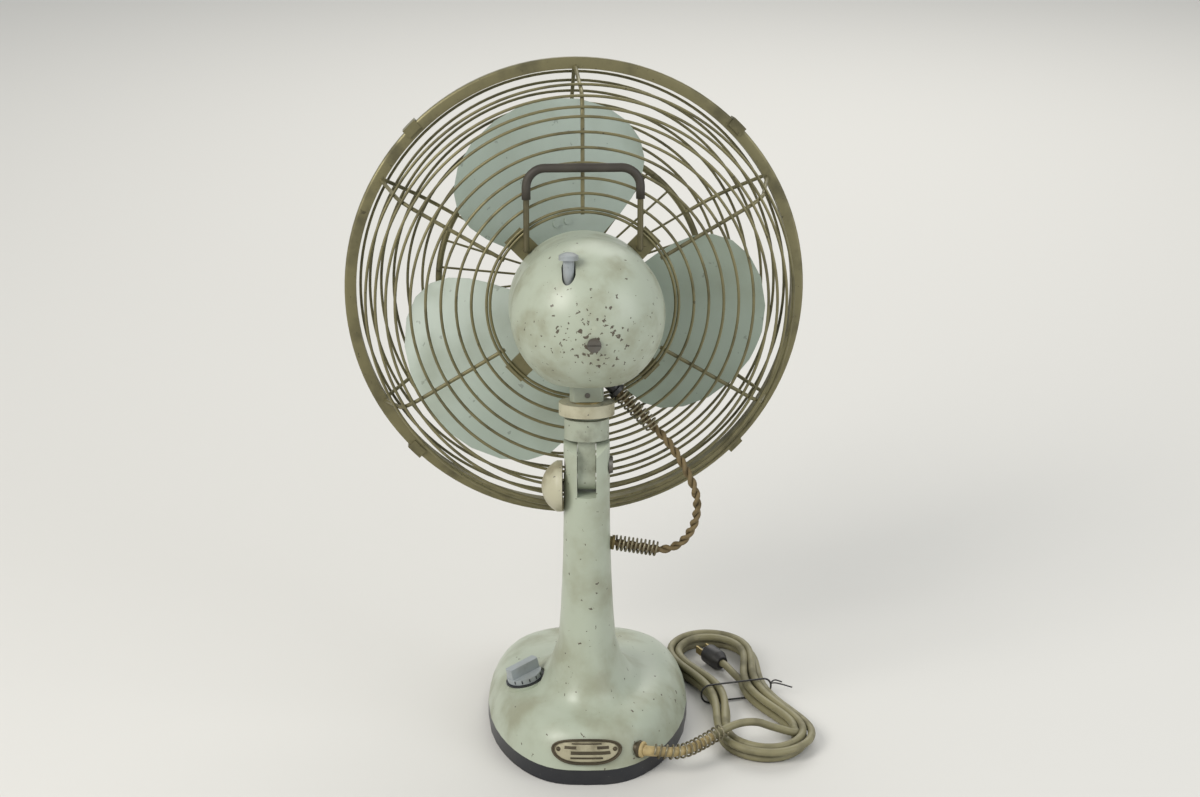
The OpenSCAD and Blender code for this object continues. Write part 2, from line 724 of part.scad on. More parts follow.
// Neck: a tongue between the ears, a shoulder, and the disc that the head swings on
shoulder_z = ear_r + 1.5;
shoulder_h = 15;
waist_r = 12;
waist_h = 3;
disc_z = shoulder_z + shoulder_h + waist_h;
disc_top = disc_z + swivel_disc_t;
washer_t = 1;
washer_r = 11;
boss_z = disc_top + washer_t + run_gap;
tongue_drop = 8;
tongue_w = 20;
pin_below = 16;
pin_above = 12;

module neck_yoke() color(steel) in_head() difference() {
    union() {
        rotate([90, 0, 90]) translate([0, 0, -tongue_t / 2]) linear_extrude(tongue_t) {
            translate([0, -tongue_drop]) circle(r = tongue_r);
            translate([-tongue_w / 2, -tongue_drop]) square([tongue_w, shoulder_z + tongue_drop + cut_over]);
        }
        translate([0, 0, shoulder_z]) cylinder(r = shoulder_r, h = shoulder_h);
        translate([0, 0, shoulder_z]) cylinder(r = waist_r, h = shoulder_h + waist_h);
    }
    along_x() cylinder(r = tilt_bolt_r, h = 2 * slot_w, center = true);
    translate([0, 0, disc_z - pin_below]) cylinder(r = swivel_pin_r, h = pin_below + cut_over);
}

module swivel_disc() color(cream) in_head() translate([0, 0, disc_z]) difference() {
    cylinder(r = swivel_disc_r, h = swivel_disc_t);
    translate([0, 0, -cut_over]) cylinder(r = swivel_pin_r, h = swivel_disc_t + 2 * cut_over);
}

module swivel_pin() color(steel) in_head() translate([0, 0, disc_z - pin_below])
    cylinder(r = swivel_pin_r - run_gap, h = pin_below + swivel_disc_t + washer_t + pin_above);

module thrust_washer() color(brass) in_head() translate([0, 0, disc_top]) difference() {
    cylinder(r = washer_r, h = washer_t);
    translate([0, 0, -cut_over]) cylinder(r = swivel_pin_r, h = washer_t + 2 * cut_over);
}

// Drive train: worm wheel and clutch rod at the left, crank under the shaft
worm_x = 16.5;
worm_y = -50;
worm_r = shaft_r;
wheel_tip_r = worm_x - worm_r - side_gap;
wheel_t = 8;
pinion_teeth = 12;
crank_teeth = 29;
tooth = 1;
crank_y = -35.5;
crank_z = -14;
crank_gear_t = 4.5;
crank_shaft_r = 2.5;
crank_disc_r = 8;
crank_disc_t = 3;
crank_throw = 4;
crank_pin_r = 1.6;
crank_pin_angle = -60;
rod_r = 2;
axis_gap = norm([worm_x, worm_y - crank_y]);
pinion_r = axis_gap * pinion_teeth / (pinion_teeth + crank_teeth) - tooth / 2;
crank_gear_r = axis_gap * crank_teeth / (pinion_teeth + crank_teeth) - tooth / 2;
module gear_outline(r, teeth, turned) {
    circle(r = r - tooth / 2);
    for (i = [0:teeth - 1]) rotate((i + turned) * 360 / teeth) translate([r - tooth, -tooth / 2]) square([tooth * 1.4, tooth]);
}

module on_axis_level() in_turned_head() translate([0, 0, fan_axis_h]) children();

module worm_wheel() color(brass) on_axis_level() translate([-worm_x, worm_y, 0]) difference() {
    union() {
        translate([0, 0, -wheel_t / 2]) linear_extrude(wheel_t) gear_outline(wheel_tip_r - tooth * 0.4, 22, 0);
        translate([0, 0, crank_z]) linear_extrude(-crank_z) rotate(atan2(crank_y - worm_y, worm_x)) gear_outline(pinion_r, pinion_teeth, 0);
    }
    cylinder(r = rod_r + run_gap, h = 8 * wheel_t, center = true);
}

module crank_gear() color(steel) on_axis_level() translate([0, crank_y, 0]) {
    translate([0, 0, crank_z]) linear_extrude(crank_gear_t) rotate(atan2(worm_y - crank_y, -worm_x))
        gear_outline(crank_gear_r, crank_teeth, 0.5);
    translate([0, 0, crank_disc_z]) cylinder(r = crank_shaft_r, h = crank_z - crank_disc_z + crank_gear_t);
    translate([0, 0, crank_disc_z]) cylinder(r = crank_disc_r, h = crank_disc_t);
    rotate(crank_pin_angle) translate([crank_throw, 0, crank_disc_z - 3]) cylinder(r = crank_pin_r, h = 3 + cut_over);
}

frame_top = 10;
frame_t = 3;
frame_bottom = -19;
frame_back = -61.5;
frame_half_w = 12;
shield_y = -12;
shield_t = 4;
frame_front = shield_y - shield_t;
frame_left = -worm_x + wheel_tip_r + side_gap;
rod_lobe_r = 6;
crank_sleeve_r = 5.5;
crank_sleeve_l = 18;
crank_disc_z = frame_bottom - crank_sleeve_l - seat_gap - crank_disc_t;
back_journal_r = 2.5;
dome_screw_drop = 12;
dome_screw_r = 2;
dome_middle = -13;
dome_screw_seat = dome_middle - sqrt(pow(dome_r - dome_wall, 2) - pow(dome_screw_drop + 2 * dome_screw_r, 2));
rear_boss_r = 9;
rear_boss_l = 6;

module frame_plate(z, t) translate([0, 0, z]) {
    translate([frame_left, frame_back, 0]) cube([frame_half_w - frame_left, frame_front - frame_back, t]);
    translate([-worm_x, worm_y, 0]) cylinder(r = rod_lobe_r, h = t);
    translate([-worm_x, worm_y - rod_lobe_r, 0]) cube([worm_x, 2 * rod_lobe_r, t]);
}

module gear_frame() color(steel) on_axis_level() difference() {
    union() {
        frame_plate(frame_top, frame_t);
        frame_plate(frame_bottom - frame_t, frame_t);
        for (y = [frame_back, frame_front - frame_t]) translate([frame_left, y, frame_bottom - frame_t])
            cube([frame_half_w - frame_left, frame_t, frame_top - frame_bottom + 2 * frame_t]);
        translate([0, crank_y, frame_bottom - crank_sleeve_l]) cylinder(r = crank_sleeve_r, h = crank_sleeve_l);
        translate([-worm_x, worm_y, frame_bottom - cut_over]) cylinder(r = rod_r, h = wheel_t / 2 - frame_bottom + cut_over);
        translate([0, frame_back + cut_over, -dome_screw_drop]) rotate([90, 0, 0])
            cylinder(r = 2 * dome_screw_r, h = frame_back + cut_over - dome_screw_seat - seat_gap);
    }
    translate([-worm_x, worm_y, frame_top - cut_over]) cylinder(r = rod_r + run_gap, h = frame_t + 2 * cut_over);
    translate([0, crank_y, frame_bottom - 2 * crank_sleeve_l]) cylinder(r = crank_shaft_r + run_gap, h = 2 * crank_sleeve_l);
    translate([0, frame_front + cut_over, 0]) rotate([90, 0, 0]) cylinder(r = rear_boss_r + seat_gap, h = frame_t + 2 * cut_over);
    translate([0, frame_back + frame_t + cut_over, 0]) rotate([90, 0, 0]) cylinder(r = back_journal_r + run_gap, h = frame_t + 2 * cut_over);
    translate([0, dome_screw_seat - cut_over, -dome_screw_drop]) rotate([-90, 0, 0]) cylinder(r = dome_screw_r, h = 14);
}

clutch_stem_r = 4;
clutch_stem_gap = 2;
clutch_hole_l = 6;
clutch_exit = sqrt(pow(dome_r, 2) - pow(worm_x, 2) - pow(worm_y - dome_middle, 2));
clutch_cap_h = 4.5;
clutch_stem_top = clutch_exit + 8;
clutch_rod_z = wheel_t / 2 + 1;

module clutch_knob() color(steel) on_axis_level() translate([-worm_x, worm_y, 0]) {
    translate([0, 0, clutch_rod_z]) cylinder(r = rod_r, h = clutch_stem_top - clutch_rod_z);
    translate([0, 0, frame_top + frame_t + clutch_stem_gap]) cylinder(r = clutch_stem_r, h = clutch_stem_top - frame_top - frame_t - clutch_stem_gap);
    translate([0, 0, clutch_stem_top - cut_over]) intersection() {
        cylinder(r = clutch_cap_r, h = clutch_cap_h + cut_over);
        translate([0, 0, clutch_cap_h + cut_over - 1.6 * clutch_cap_r]) sphere(r = 1.6 * clutch_cap_r);
    }
}

// Motor housing
seam_y = -5;
arm_face_y = 34.1;
skirt_r = sqrt(pow(dome_r, 2) - pow(seam_y - dome_middle, 2));
drum_r = 50;
drum_end = 56;
nose_r = 20;
nose_end = 70;
front_bore_r = 8;
core_r = stator_r + run_gap;
spigot_r = dome_r - dome_wall - 0.6;
boss_r = 12.5;
boss_flat = 8;
boss_top = fan_axis_h - spigot_r - 1;
crown_arc = 6;

drum_profile = concat(
    [[core_r, shield_y], [spigot_r - 1, shield_y], [spigot_r - 1, seam_y], [skirt_r, seam_y], [skirt_r, arm_face_y],
     [drum_r, arm_face_y], [drum_r, drum_end]],
    [for (a = [15:15:75]) [drum_r - crown_arc * (1 - cos(a)), drum_end + crown_arc * sin(a)]],
    [[drum_r - crown_arc, drum_end + crown_arc], [nose_r, drum_end + crown_arc], [nose_r - 2, nose_end],
     [front_bore_r, nose_end], [front_bore_r, drum_end + crown_arc - 5], [core_r - 6, drum_end + crown_arc - 5],
     [core_r, drum_end - 5]]
);

module motor_frame() color(pale_green) difference() {
    union() {
        on_fan_axis() rotate_extrude() polygon(drum_profile);
        in_turned_head() translate([0, 0, boss_z]) difference() {
            cylinder(r = boss_r, h = boss_top - boss_z);
            translate([-2 * boss_r, -boss_flat - 2 * boss_r, -cut_over]) cube([4 * boss_r, 2 * boss_r, 4 * boss_r]);
        }
    }
    in_head() translate([0, 0, boss_z - cut_over]) cylinder(r = swivel_pin_r, h = pin_above + cut_over + 0.5);
    in_turned_head() translate([0, -2 * boss_r, boss_screw_z]) rotate([-90, 0, 0]) cylinder(r = boss_screw_r, h = 2 * boss_r);
    at_gland() cylinder(r = gland_r, h = 4 * gland_depth, center = true);
    on_fan_axis() rotate_extrude() translate([0, shield_y - cut_over]) square([core_r, drum_end - 5 - shield_y + cut_over]);
}

boss_screw_r = 2;
boss_screw_z = boss_z + 5;

module boss_screw() color(steel) in_turned_head() translate([0, -boss_flat - 0.5, boss_screw_z]) rotate([-90, 0, 0])
    cylinder(r = boss_screw_r - run_gap, h = boss_flat + 0.5 - swivel_pin_r - seat_gap);

module end_shield() color(steel) on_fan_axis() difference() {
    union() {
        translate([0, 0, shield_y - shield_t]) cylinder(r = spigot_r - 1, h = shield_t);
        translate([0, 0, shield_y - shield_t - rear_boss_l]) cylinder(r = rear_boss_r, h = rear_boss_l + cut_over);
    }
    translate([0, 0, shield_y - shield_t - 2 * rear_boss_l]) cylinder(r = front_bore_r, h = shield_t + 4 * rear_boss_l);
    // The lowest part of the shield is cut away over the swivel boss
    translate([-2 * boss_r, spigot_r - 3, shield_y - shield_t - cut_over]) cube([4 * boss_r, spigot_r, shield_t + 2 * cut_over]);
}

module rear_dome() color(pale_green) on_fan_axis() difference() {
    translate([0, 0, dome_middle]) sphere(r = dome_r);
    translate([0, 0, dome_middle]) sphere(r = dome_r - dome_wall);
    translate([0, 0, seam_y]) cylinder(r = 2 * dome_r, h = 4 * dome_r);
    translate([-2 * dome_r, dome_cut, -4 * dome_r]) cube([4 * dome_r, dome_r, 8 * dome_r]);
    // Oval hole for the clutch knob's stem, and the screw's hole
    translate([-worm_x, 0, worm_y]) rotate([90, 0, 0]) linear_extrude(2 * dome_r) {
        for (end = [-1, 1]) translate([0, end * clutch_hole_l / 2]) circle(r = clutch_stem_r + 0.8);
        square([2 * clutch_stem_r + 1.6, clutch_hole_l], center = true);
    }
    translate([0, dome_screw_drop, -2 * dome_r]) cylinder(r = dome_screw_r + run_gap, h = dome_r);
}

dome_screw_head_r = 5;
dome_screw_head_t = 2;
dome_screw_out = dome_middle - sqrt(pow(dome_r, 2) - pow(dome_screw_drop - dome_screw_head_r, 2));

module dome_screw() color(steel) on_fan_axis() translate([0, dome_screw_drop, 0]) difference() {
    union() {
        translate([0, 0, dome_screw_out - dome_screw_head_t]) cylinder(r = dome_screw_head_r, h = dome_screw_head_t);
        translate([0, 0, dome_screw_out - 1]) cylinder(r = dome_screw_r - run_gap, h = 10);
    }
    translate([-2 * dome_screw_head_r, -0.6, dome_screw_out - dome_screw_head_t - 1]) cube([4 * dome_screw_head_r, 1.2, 2]);
}

rotor_r = 27;
air_gap = 0.5;
stator_y = 4;
coil_r = 4.8;
coil_mid = (rotor_r + stator_r) / 2 + 1;

module stator_core() color(steel) on_fan_axis() translate([0, 0, stator_y]) difference() {
    cylinder(r = stator_r, h = stator_l);
    translate([0, 0, -cut_over]) cylinder(r = rotor_r + air_gap, h = stator_l + 2 * cut_over);
}

module stator_coils() color(copper) on_fan_axis() for (z = [stator_y - coil_r, stator_y + stator_l + coil_r])
    translate([0, 0, z]) rotate_extrude() translate([coil_mid, 0]) circle(r = coil_r);

module bearing(from, length) on_fan_axis() translate([0, 0, from]) difference() {
    cylinder(r = front_bore_r - run_gap, h = length);
    translate([0, 0, -cut_over]) cylinder(r = shaft_r + run_gap, h = length + 2 * cut_over);
}

module front_bearing() color(brass) bearing(drum_end + crown_arc - 5, nose_end - drum_end - crown_arc + 5);

module rear_bearing() color(brass) bearing(shield_y - shield_t - rear_boss_l, shield_t + rear_boss_l);

// Rotor and fan
blade_y = 102;
hub_r = 16;
hub_half = 10;
hub_back = blade_y - hub_half;
blade_root_r = 28;
blade_angles = [for (i = [0:blade_count - 1]) 102 + i * 360 / blade_count];
shaft_end = blade_y + hub_half + 6;
worm_l = 16;

module motor_shaft() color(steel) on_fan_axis() {
    translate([0, 0, frame_back]) cylinder(r = back_journal_r, h = -frame_back);
    translate([0, 0, worm_y - worm_l / 2]) cylinder(r = worm_r, h = hub_back + hub_half - worm_y + worm_l / 2);
    cylinder(r = shaft_r - 1, h = shaft_end);
}

module rotor_core() color(steel) on_fan_axis() translate([0, 0, stator_y]) difference() {
    cylinder(r = rotor_r, h = stator_l);
    translate([0, 0, -cut_over]) cylinder(r = shaft_r, h = stator_l + 2 * cut_over);
}

arm_t = 2.4;
arm_w = 20;
arm_end = 62;

module in_blade_plane(angle) on_fan_axis() at_angle(angle) translate([0, 0, blade_y]) rotate([blade_pitch, 0, 0]) children();

module fan_hub() color(steel) difference() {
    union() {
        on_fan_axis() translate([0, 0, hub_back]) cylinder(r = hub_r, h = 2 * hub_half);
        for (angle = blade_angles) in_blade_plane(angle) translate([hub_r - 4, -arm_w / 2, blade_t / 2 + run_gap])
            cube([arm_end - hub_r + 4, arm_w, arm_t]);
    }
    on_fan_axis() translate([0, 0, hub_back - cut_over]) cylinder(r = shaft_r, h = hub_half + cut_over);
    on_fan_axis() cylinder(r = shaft_r - 1, h = 2 * blade_r);
}

blade_rows = [0, 0.1, 0.2, 0.32, 0.45, 0.58, 0.7, 0.8, 0.88, 0.94, 0.98, 1];
blade_cols = 10;
blade_belly = 0.45;
root_half = 30;
tip_half = 5;
blade_camber = 5;

// Half angle of the blade at the share s of the way from root to tip
function blade_spread(s) = s < blade_belly
    ? blade_half - (blade_half - root_half) * pow((blade_belly - s) / blade_belly, 2)
    : max(tip_half, blade_half * sqrt(1 - pow((s - blade_belly) / (1 - blade_belly), 2.4)));

function blade_point(s, v, side) = let (
    r = blade_root_r + (blade_r - blade_root_r) * s,
    turn = blade_spread(s) * v,
    across = r * sin(turn),
    bend = blade_camber * pow(across / blade_root_r / 2, 2) / 2
) [r * cos(turn), across, across * tan(blade_pitch) + bend + side * blade_t / 2 / cos(blade_pitch)];

module blade() {
    rows = len(blade_rows);
    cols = blade_cols + 1;
    layer = rows * cols;
    points = [for (side = [-1, 1], s = blade_rows, j = [0:blade_cols]) blade_point(s, 2 * j / blade_cols - 1, side)];
    sheet = [
        for (i = [0:rows - 2], j = [0:cols - 2])
            let (a = i * cols + j)
            each [[a, a + cols, a + 1], [a + 1, a + cols, a + cols + 1]]
    ];
    under = [for (f = sheet) [f[0], f[2], f[1]]];
    over = [for (f = sheet) [f[0] + layer, f[1] + layer, f[2] + layer]];
    border = concat(
        [for (j = [0:cols - 2]) j],
        [for (i = [0:rows - 2]) i * cols + cols - 1],
        [for (j = [cols - 1:-1:1]) (rows - 1) * cols + j],
        [for (i = [rows - 1:-1:1]) i * cols]
    );
    n = len(border);
    edge = [for (k = [0:n - 1])
        let (a = border[k], b = border[(k + 1) % n])
        each [[a, b, a + layer], [b, b + layer, a + layer]]];
    polyhedron(points = points, faces = concat(under, over, edge));
}

module fan_blades() color(blade_green) for (angle = blade_angles) on_fan_axis() at_angle(angle) translate([0, 0, blade_y]) blade();

rivet_r = 2;
rivet_spots = [[36, 0], [54, -5], [54, 5]];

module blade_rivets() color(steel) for (angle = blade_angles, spot = rivet_spots) in_blade_plane(angle)
    translate([each spot, -blade_t / 2 - 1]) {
        cylinder(r = rivet_r, h = blade_t + arm_t + 2);
        cylinder(r = 1.5 * rivet_r, h = 1);
        translate([0, 0, blade_t + arm_t + 1]) cylinder(r = 1.5 * rivet_r, h = 1);
    }

module hub_nut() color(steel) on_fan_axis() translate([0, 0, hub_back + 2 * hub_half]) difference() {
    union() {
        cylinder(r = 8, h = 4, $fn = 6);
        intersection() {
            translate([0, 0, 2]) sphere(r = 6.5);
            cylinder(r = 6.5, h = 9);
        }
    }
    translate([0, 0, -cut_over]) cylinder(r = shaft_r - 1, h = shaft_end - hub_back - 2 * hub_half + cut_over);
}

// Guard: a flat back, a turn, and a straight side up to the rim
guard_back_y = 33;
rim_mid_y = 112;
rim_back_y = rim_mid_y - rim_l / 2;
rim_front_y = rim_mid_y + rim_l / 2;
rim_inner_r = rim_r - rim_w;
side_end = [rim_inner_r + 4.5, rim_back_y];
turn_centre = [back_flat_r, guard_back_y + back_turn_r];
side_reach = side_end - turn_centre;
back_turn_angle = atan2(side_reach.y, side_reach.x) + asin(back_turn_r / norm(side_reach));
spoke_in = ring_wire_r + spoke_wire_r;
spoke_angles = [30, 90, 150, 210, 270, 330];
arm_angles = [45, 135, 225, 315];
inner_pair_step = 2.6;
back_ring_step = (back_flat_r - inner_ring_r - inner_pair_step) / back_rings;
side_ring_spots = [7, 16, 32];

function side_point(s) = let (turn = s / back_turn_r * 180 / PI) turn < back_turn_angle
    ? turn_centre + back_turn_r * [sin(turn), -cos(turn)]
    : turn_centre + back_turn_r * [sin(back_turn_angle), -cos(back_turn_angle)]
        + (s - back_turn_r * back_turn_angle * PI / 180) * [cos(back_turn_angle), sin(back_turn_angle)];

module ring(spot, wire) translate([0, 0, spot.y]) rotate_extrude() translate([spot.x, 0]) circle(r = wire);

module rear_guard_rings() color(olive) on_fan_axis() {
    ring([inner_ring_r, guard_back_y], ring_wire_r);
    for (i = [0:back_rings]) ring([inner_ring_r + inner_pair_step + i * back_ring_step, guard_back_y], ring_wire_r);
    for (s = side_ring_spots) ring(side_point(s), ring_wire_r);
}

// A straight wire between two points of the guard's section
module wire(from, to, r) {
    reach = to - from;
    translate([from.x, 0, from.y]) rotate([0, atan2(reach.x, reach.y), 0]) cylinder(r = r, h = norm(reach));
}

// A straight wire welded into a bend: a hair thinner, and sunk into it at one end or both
weld_in = 0.4;
weld_step = 0.03;

module welded_wire(from, to, r, ends) {
    way = unit(to - from);
    wire(from - ends[0] * weld_in * way, to + ends[1] * weld_in * way, r - weld_step);
}

// A bent wire about a centre in the guard's section, from the flat through an angle
module bend(centre, r, angle, wire_r, way) translate([centre.x, 0, centre.y]) rotate([90, 0, 0]) rotate(way > 0 ? -90 : 90 - angle)
    rotate_extrude(angle = angle) translate([r, 0]) circle(r = wire_r);

spoke_turn_r = back_turn_r - spoke_in;
spoke_turn_end = turn_centre + spoke_turn_r * [sin(back_turn_angle), -cos(back_turn_angle)];
spoke_side_l = norm(side_reach) * cos(asin(back_turn_r / norm(side_reach)));
spoke_end = spoke_turn_end + spoke_side_l * [cos(back_turn_angle), sin(back_turn_angle)];

module rear_guard_spokes() color(olive) on_fan_axis() for (angle = spoke_angles) at_angle(angle) {
    welded_wire([inner_ring_r - 2, guard_back_y + spoke_in], [back_flat_r, guard_back_y + spoke_in], spoke_wire_r, [0, 1]);
    bend(turn_centre, spoke_turn_r, back_turn_angle, spoke_wire_r, 1);
    welded_wire(spoke_turn_end, spoke_end, spoke_wire_r, [1, 0]);
}

plate_arm_t = 2.5;
plate_arm_w = 16;

module guard_arms() color(olive) on_fan_axis() translate([0, 0, arm_face_y]) difference() {
    union() {
        cylinder(r = skirt_r - 0.4, h = plate_arm_t);
        for (angle = arm_angles) at_angle(angle) translate([0, -plate_arm_w / 2, 0])
            cube([inner_ring_r + inner_pair_step + 2 * ring_wire_r, plate_arm_w, plate_arm_t]);
    }
    translate([0, 0, -cut_over]) cylinder(r = drum_r + run_gap, h = plate_arm_t + 2 * cut_over);
}

rim_round = 2;

module guard_rim() color(olive) on_fan_axis() rotate_extrude() polygon(concat(
    [[rim_inner_r, rim_back_y], [rim_r - rim_round, rim_back_y]],
    [for (a = [-60:30:60]) [rim_r - rim_round + rim_round * cos(a), rim_mid_y + (rim_l / 2 - rim_round) * sign(a) + rim_round * sin(a)]],
    [[rim_r - rim_round, rim_front_y], [rim_inner_r, rim_front_y]]
));

front_wire_r = 3;
front_rim_y = rim_front_y + front_wire_r;
front_rim_r = rim_r - rim_w / 2 - 0.5;
clip_t = 1.4;
clip_turn = 4;
clip_leg = 6;

module rim_clips() color(olive) on_fan_axis() for (angle = arm_angles) at_angle(angle) rotate(-clip_turn / 2)
    rotate_extrude(angle = clip_turn) difference() {
        translate([rim_r - clip_leg, rim_back_y - 0.2 - clip_t])
            square([clip_leg + 0.2 + clip_t, rim_l + 2 * front_wire_r + 0.4 + 2 * clip_t]);
        translate([rim_r - clip_leg - cut_over, rim_back_y - 0.2])
            square([clip_leg + cut_over + 0.2, rim_l + 2 * front_wire_r + 0.4]);
    }

front_y = rim_mid_y + front_depth;
front_flat_r = front_band_r + 5;
front_turn_r = 60;
front_centre = [front_flat_r, front_y - front_turn_r];
front_reach = [front_rim_r, front_rim_y] - front_centre;
front_turn_angle = asin(min(1, front_turn_r / norm(front_reach))) - atan2(front_reach.y, front_reach.x);
front_band_wire_r = 2.6;
front_ring_spots = [8, 20, 32, 44, 56, 66];

function front_point(s) = let (turn = s / front_turn_r * 180 / PI) turn < front_turn_angle
    ? front_centre + front_turn_r * [sin(turn), cos(turn)]
    : front_centre + front_turn_r * [sin(front_turn_angle), cos(front_turn_angle)]
        + (s - front_turn_r * front_turn_angle * PI / 180) * [cos(front_turn_angle), -sin(front_turn_angle)];

module front_guard_rings() color(olive) on_fan_axis() {
    ring([front_rim_r, front_rim_y], front_wire_r);
    ring([front_band_r, front_y], front_band_wire_r);
    for (s = front_ring_spots) ring(front_point(s), ring_wire_r);
}

thin_wire_r = 0.9;
badge_r = 28;
badge_t = 2.6;
front_spoke_r = front_turn_r - spoke_in;
front_spoke_turn_end = front_centre + front_spoke_r * [sin(front_turn_angle), cos(front_turn_angle)];
front_spoke_l = norm(front_reach) * cos(asin(min(1, front_turn_r / norm(front_reach))));
front_spoke_end = front_spoke_turn_end + front_spoke_l * [cos(front_turn_angle), -sin(front_turn_angle)];

module front_guard_spokes() color(olive) on_fan_axis() {
    for (angle = spoke_angles) at_angle(angle) {
        welded_wire([front_band_r, front_y - spoke_in], [front_flat_r, front_y - spoke_in], spoke_wire_r, [0, 1]);
        bend(front_centre, front_spoke_r, front_turn_angle, spoke_wire_r, -1);
        welded_wire(front_spoke_turn_end, front_spoke_end, spoke_wire_r, [1, 0]);
    }
    for (i = [0:front_thin_spokes - 1]) at_angle((i + 0.5) * 360 / front_thin_spokes)
        wire([badge_r - 8, front_y], [front_band_r - front_band_wire_r + 0.4, front_y], thin_wire_r);
}

module front_badge() color(olive) on_fan_axis() translate([0, 0, front_y + thin_wire_r]) cylinder(r1 = badge_r, r2 = badge_r - 3, h = badge_t);

handle_y = guard_back_y - ring_wire_r - 1.4 - handle_wire_r - 0.05;
handle_bend_r = 14;
foot_gap = 1.7;
handle_foot = sqrt(pow(skirt_r + handle_wire_r + foot_gap, 2) - pow(handle_w / 2, 2));
sleeve_wall = 1.1;

module carry_handle() color(brass) on_axis_level() translate([0, handle_y, 0]) {
    for (side = [-1, 1]) {
        translate([side * handle_w / 2, 0, handle_foot]) cylinder(r = handle_wire_r, h = handle_top - handle_bend_r - handle_foot);
        translate([side * handle_w / 2, 0, handle_foot]) sphere(r = handle_wire_r);
        translate([side * handle_w / 2, 0, handle_foot]) rotate([-90, 0, 0]) cylinder(r = handle_wire_r, h = arm_face_y - handle_y);
        translate([side * (handle_w / 2 - handle_bend_r), 0, handle_top - handle_bend_r]) rotate([90, 0, 0])
            rotate(side > 0 ? 0 : 90) rotate_extrude(angle = 90) translate([handle_bend_r, 0]) circle(r = handle_wire_r);
    }
    translate([-handle_w / 2 + handle_bend_r, 0, handle_top]) along_x() cylinder(r = handle_wire_r, h = handle_w - 2 * handle_bend_r);
}

module handle_sleeve() color(black) on_axis_level() translate([-handle_w / 2 + handle_bend_r, handle_y, handle_top]) along_x() difference() {
    cylinder(r = handle_wire_r + sleeve_wall, h = handle_w - 2 * handle_bend_r);
    translate([0, 0, -cut_over]) cylinder(r = handle_wire_r + run_gap, h = handle_w);
}

stand_casting();
plinth();
bottom_plate();
bottom_screws();
speed_switch();
dial_plate();
speed_knob();
nameplate();
cord_grommet();
mains_spring();
mains_cord();
cord_hank();
cord_tie();
plug_body();
plug_pins();
lead_bush();
lower_lead_spring();
motor_lead();
tilt_bolt();
tilt_nut();
clamp_knob();
clamp_screw();
neck_yoke();
swivel_disc();
swivel_pin();
thrust_washer();
motor_frame();
end_shield();
rear_dome();
dome_screw();
boss_screw();
stator_core();
stator_coils();
front_bearing();
rear_bearing();
gear_frame();
worm_wheel();
crank_gear();
clutch_knob();
guard_arms();
rear_guard_rings();
rear_guard_spokes();
guard_rim();
rim_clips();
front_guard_rings();
front_guard_spokes();
front_badge();
carry_handle();
handle_sleeve();
lead_gland();
upper_lead_spring();
motor_shaft();
rotor_core();
fan_hub();
fan_blades();
blade_rivets();
hub_nut();
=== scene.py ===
# %% [markdown]
# # A vintage desk fan, finished over its CAD frame
#
# The CAD part gives the true shape and the bodies that move. This script adds what the
# photograph shows on top of it: the camera, the worn paint, the cords, the wound springs,
# and small details such as the dial's marks and the plate's rim.

# %%
import json
import math

import bmesh
import bpy
import numpy as np
from mathutils import Matrix, Vector


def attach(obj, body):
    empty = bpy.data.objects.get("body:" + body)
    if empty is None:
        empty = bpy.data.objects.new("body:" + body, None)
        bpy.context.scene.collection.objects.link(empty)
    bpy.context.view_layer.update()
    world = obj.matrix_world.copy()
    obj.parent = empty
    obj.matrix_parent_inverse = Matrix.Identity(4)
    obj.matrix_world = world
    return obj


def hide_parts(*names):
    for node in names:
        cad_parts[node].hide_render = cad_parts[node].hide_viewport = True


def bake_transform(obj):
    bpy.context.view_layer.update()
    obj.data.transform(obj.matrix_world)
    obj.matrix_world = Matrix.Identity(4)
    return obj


MM = 0.001
bpy.ops.wm.read_factory_settings(use_empty=True)
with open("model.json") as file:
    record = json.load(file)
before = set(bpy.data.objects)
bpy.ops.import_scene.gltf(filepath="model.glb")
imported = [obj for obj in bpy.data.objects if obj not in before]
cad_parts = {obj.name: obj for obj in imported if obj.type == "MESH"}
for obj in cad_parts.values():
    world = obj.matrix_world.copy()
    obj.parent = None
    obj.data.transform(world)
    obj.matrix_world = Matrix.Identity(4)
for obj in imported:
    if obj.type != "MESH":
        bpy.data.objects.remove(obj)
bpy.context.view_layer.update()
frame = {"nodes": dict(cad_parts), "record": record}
nodes = frame["nodes"]
scene = bpy.context.scene
print("CAD nodes:", len(nodes))

# %% [markdown]
# ## The shared frame
#
# X is to the right in the photograph, Y is the way the air blows, and Z is up. The head is
# pitched forward and turned a little to its left, and points on the head are moved likewise here.

# %%
HEAD_PITCH = math.radians(8)
HEAD_TURN = math.radians(4.8)
HEAD_FRAME = Matrix.Rotation(-HEAD_PITCH, 3, "X") @ Matrix.Rotation(HEAD_TURN, 3, "Z")
TILT_AXIS = Vector((0, -32, 223))
FAN_AXIS_H = 114


def head_point(x, y, z):
    """A point of the head, in millimetres, in the shared frame."""
    return TILT_AXIS + HEAD_FRAME @ Vector((x, y, z))


def head_way(x, y, z):
    """A direction of the head in the shared frame."""
    return (HEAD_FRAME @ Vector((x, y, z))).normalized()


print("fan centre, mm:", [round(v, 1) for v in head_point(0, 0, FAN_AXIS_H)])

# %% [markdown]
# ## Camera
#
# The photograph looks down by about twenty degrees from behind the fan. The lens follows from
# how the table's sides close in towards the back.

# %%
PHOTO_W = 1200
FOCAL_PX = 2250
CAMERA_SPOT = Vector((9.8, -1577, 831)) * MM
CAMERA_DROP = math.radians(19.8)

